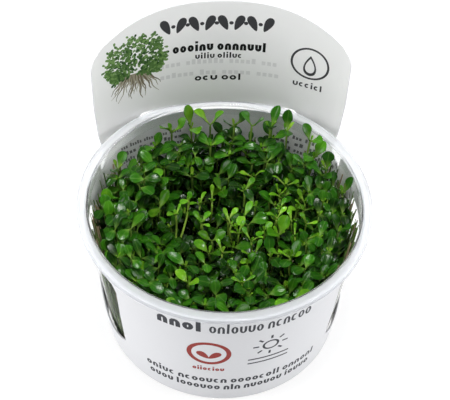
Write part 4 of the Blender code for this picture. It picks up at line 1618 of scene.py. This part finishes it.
def add_crown(skin, place, rng):
    """The rooted crown, a lumpy brown-green base over the gel."""
    heights = np.linspace(0.0, CROWN_HEIGHT, 6)
    radii = np.interp(heights, (0, CROWN_HEIGHT), (CROWN_RADIUS, CROWN_TOP_RADIUS))
    turns = np.arange(14) * math.tau / 14
    rings = np.empty((len(heights), len(turns), 3))
    for i, (height, radius) in enumerate(zip(heights, radii)):
        lumps = np.array([rng.uniform(0.78, 1.0) for _ in turns])
        rings[i, :, 0] = place.x + radius * lumps * np.cos(turns)
        rings[i, :, 1] = place.y + radius * lumps * np.sin(turns)
        rings[i, :, 2] = place.z + height
    tints = np.tile((0.2, 0.2, 0.3), (len(heights), 1))
    skin.add(rings, tints, np.zeros(rings.shape), 1)


def add_wall_stem(skin, turn, rng):
    """An old stem or root that stands beside the wall, with a bend of its own."""
    width = rng.uniform(*WALL_STEM_WIDTHS) * MM
    nearest, deepest = WALL_STEM_DEPTH
    depth = width + nearest + (deepest - nearest) * rng.random() ** 1.6
    low = rng.uniform(*WALL_STEM_FOOT)
    side_rise = WALL_STEM_SIDE_RISE * smooth_rise(abs(math.cos(turn)), *SIDE_ZONE)
    top = rng.uniform(*WALL_STEM_TOPS) + side_rise
    drift = rng.uniform(-WALL_STEM_DRIFT, WALL_STEM_DRIFT)
    path, radii = [], []
    for i in range(8):
        t = i / 7
        height = low + (top - low) * t
        reach = thin_inside(height) - depth - rng.uniform(0, 0.15) * MM
        angle = turn + drift * t + rng.uniform(-0.012, 0.012)
        path.append((reach * math.cos(angle), reach * math.sin(angle), height))
        radii.append(width * (1 - 0.4 * i / 7))
    is_root = rng.random() < ROOT_SHARE
    # A low light level in the colour: partly the old stems' own dark colour, partly painted shade
    shade = rng.uniform(-0.12, 0.24)
    tints = [(rng.uniform(0.3, 0.7), shade, 0.7)] * len(path)
    add_tube(skin, path, radii, tints, 1 if is_root else 0, 6)


def add_wall_stems(skins, crowns):
    """Stems and roots all round the wall, each with the plantlet that is nearest."""
    rng = random.Random(WALL_STEM_SEED)
    for i in range(WALL_STEMS):
        turn = math.tau * (i + rng.uniform(-0.4, 0.4)) / WALL_STEMS
        if rng.random() > WALL_STEM_SHARE + smooth_rise(abs(math.cos(turn)), *SIDE_ZONE):
            continue
        place = polar(1.0, turn) * NODE_REACH
        owner = min(range(len(crowns)), key=lambda k: (crowns[k].xy - place.xy).length)
        add_wall_stem(skins[owner], turn, rng)


def dress_main(skin, shoot, rng, tone):
    """A main shoot, with its leaves on the solid's own."""
    scale = rng.uniform(*MAIN_SCALE)
    age = 0.24 + 0.5 * rng.random() ** 2.2 + tone
    add_stem(skin, shoot, rng, rng.uniform(0.33, 0.43) * MM)
    for leaf in shoot.leaves:
        leaf["blade"] *= scale
        leaf["half_width"] *= scale
        leaf["blade_rise"] += math.radians(MAIN_TOWARDS_LIGHT * math.sin(leaf["heading"]))
        # Painted shade: the leaves' light level is lower in the hollow behind the middle
        looks = leaf_looks(rng, age, 0.62 * light_left(shoot.node))
        add_leaf(skin, shoot.node, leaf, looks, rng, FINE)
    if rng.random() < 0.7:
        add_bud(skin, shoot.node, shoot.heading, rng, rng.uniform(1.2, 2.8) * MM)


def dress_pale(skin, shoot, rng):
    add_pale_stem(skin, shoot, rng)
    for leaf in shoot.leaves:
        add_leaf(skin, shoot.node, leaf, leaf_looks(rng, 0.70, 0.7), rng, FINE)
    add_bud(skin, shoot.node, shoot.heading, rng, rng.uniform(0.9, 1.8) * MM)


def dress_filler(skin, shoot, rng, tone):
    """A smaller shoot or pair, darker the deeper it is in the mat: an older leaf colour and painted shade
    there, with more painted shade near the hollow.
    """
    depth = smooth_rise(shoot.node.z, FILLER_LOWEST, FILLER_HIGHEST)
    age = 0.06 + 0.44 * depth * rng.random() + tone
    # Painted shade: a low light level deep in the mat and near the hollow
    shade = (0.04 + 0.58 * depth**1.5) * light_left(shoot.node)
    if not shoot.stemless:
        add_stem(skin, shoot, rng, rng.uniform(0.25, 0.36) * MM)
        if rng.random() < 0.45:
            add_bud(skin, shoot.node, shoot.heading, rng, rng.uniform(0.9, 1.8) * MM)
    for leaf in shoot.leaves:
        add_leaf(skin, shoot.node, leaf, leaf_looks(rng, age, shade), rng, PLAIN)


def add_plantlets():
    crowns = crown_places()
    placed = grow_shoots(crowns)
    pale = grow_pale(crowns, placed)
    fillers = grow_fillers(crowns, placed + pale)
    rng = random.Random(LOOKS_SEED)
    skins = [Skin() for _ in crowns]
    tones = [rng.uniform(-PLANT_TONE, PLANT_TONE) for _ in crowns]
    for skin, crown in zip(skins, crowns):
        add_crown(skin, crown, rng)
    add_wall_stems(skins, crowns)
    for shoot in placed[:len(TALL_SHOOTS)]:
        for leaf in shoot.leaves:
            leaf["blade_rise"] = max(leaf["blade_rise"], math.radians(rng.uniform(*TALL_RISE)))
    for shoot in placed:
        dress_main(skins[shoot.owner], shoot, rng, tones[shoot.owner])
    for shoot in pale:
        dress_pale(skins[shoot.owner], shoot, rng)
    for shoot in fillers:
        dress_filler(skins[shoot.owner], shoot, rng, tones[shoot.owner])
    materials = [leaf_material(), root_material()]
    for number, skin in enumerate(skins):
        name = f"plantlet_{number + 1:02d}"
        add_object("fine_" + name, skin.mesh("fine_" + name), materials, "foliage", name)


# Camera, floor and light
def add_camera():
    data = bpy.data.cameras.new("camera")
    data.lens = CAMERA_LENS
    data.sensor_width = SENSOR_WIDTH
    data.sensor_fit = "HORIZONTAL"
    data.clip_start = 0.01
    camera = bpy.data.objects.new("camera", data)
    bpy.context.scene.collection.objects.link(camera)
    azimuth = Matrix.Rotation(math.radians(CAMERA_AZIMUTH), 4, "Z")
    tilt = Matrix.Rotation(math.radians(90 - CAMERA_ELEVATION), 4, "X")
    roll = Matrix.Rotation(math.radians(CAMERA_ROLL), 4, "Z")
    target = Matrix.Translation((0, 0, CAMERA_TARGET))
    camera.matrix_world = target @ azimuth @ tilt @ roll @ Matrix.Translation((0, 0, CAMERA_DISTANCE))
    bpy.context.scene.camera = camera


def add_floor():
    bpy.ops.mesh.primitive_plane_add(size=3.0, location=(0, 0, -0.0002))
    floor = bpy.context.active_object
    floor.name = "floor"
    material, tree, shader = principled(
        "floor",
        Base_Color=(0.35, 0.35, 0.35, 1),
        Roughness=0.9,
        Emission_Color=(1, 1, 1, 1),
        Emission_Strength=0.74,
    )
    tone = add_noise(tree, 3.0, 2.0)
    feed(tree, shader, Base_Color=add_mix(tree, tone, (0.34, 0.34, 0.34, 1), (0.36, 0.36, 0.36, 1)))
    floor.data.materials.append(material)


def add_lamp(name, place, aim, size, power):
    data = bpy.data.lights.new(name, "AREA")
    data.shape = "DISK"
    data.size = size
    data.energy = power
    lamp = bpy.data.objects.new(name, data)
    bpy.context.scene.collection.objects.link(lamp)
    lamp.location = place
    lamp.rotation_euler = (Vector(aim) - Vector(place)).to_track_quat("-Z", "Y").to_euler()


def add_lights():
    world = bpy.data.worlds.new("studio")
    bpy.context.scene.world = world
    world.use_nodes = True
    background = world.node_tree.nodes["Background"]
    background.inputs["Color"].default_value = (0.97, 0.985, 1.0, 1)
    background.inputs["Strength"].default_value = 0.2
    add_lamp("overhead", (0.0, -0.04, 0.62), (0, 0, 0.06), 0.15, 3.1)
    add_lamp("left", (-0.70, -0.10, 0.38), (0, 0, 0.05), 0.4, 3.3)
    add_lamp("right", (0.70, -0.10, 0.38), (0, 0, 0.05), 0.4, 2.9)
    bpy.context.scene.view_settings.view_transform = "Standard"


def main():
    add_camera()
    add_floor()
    add_lights()
    add_cup()
    add_gel()
    add_sleeve()
    add_plantlets()


main()
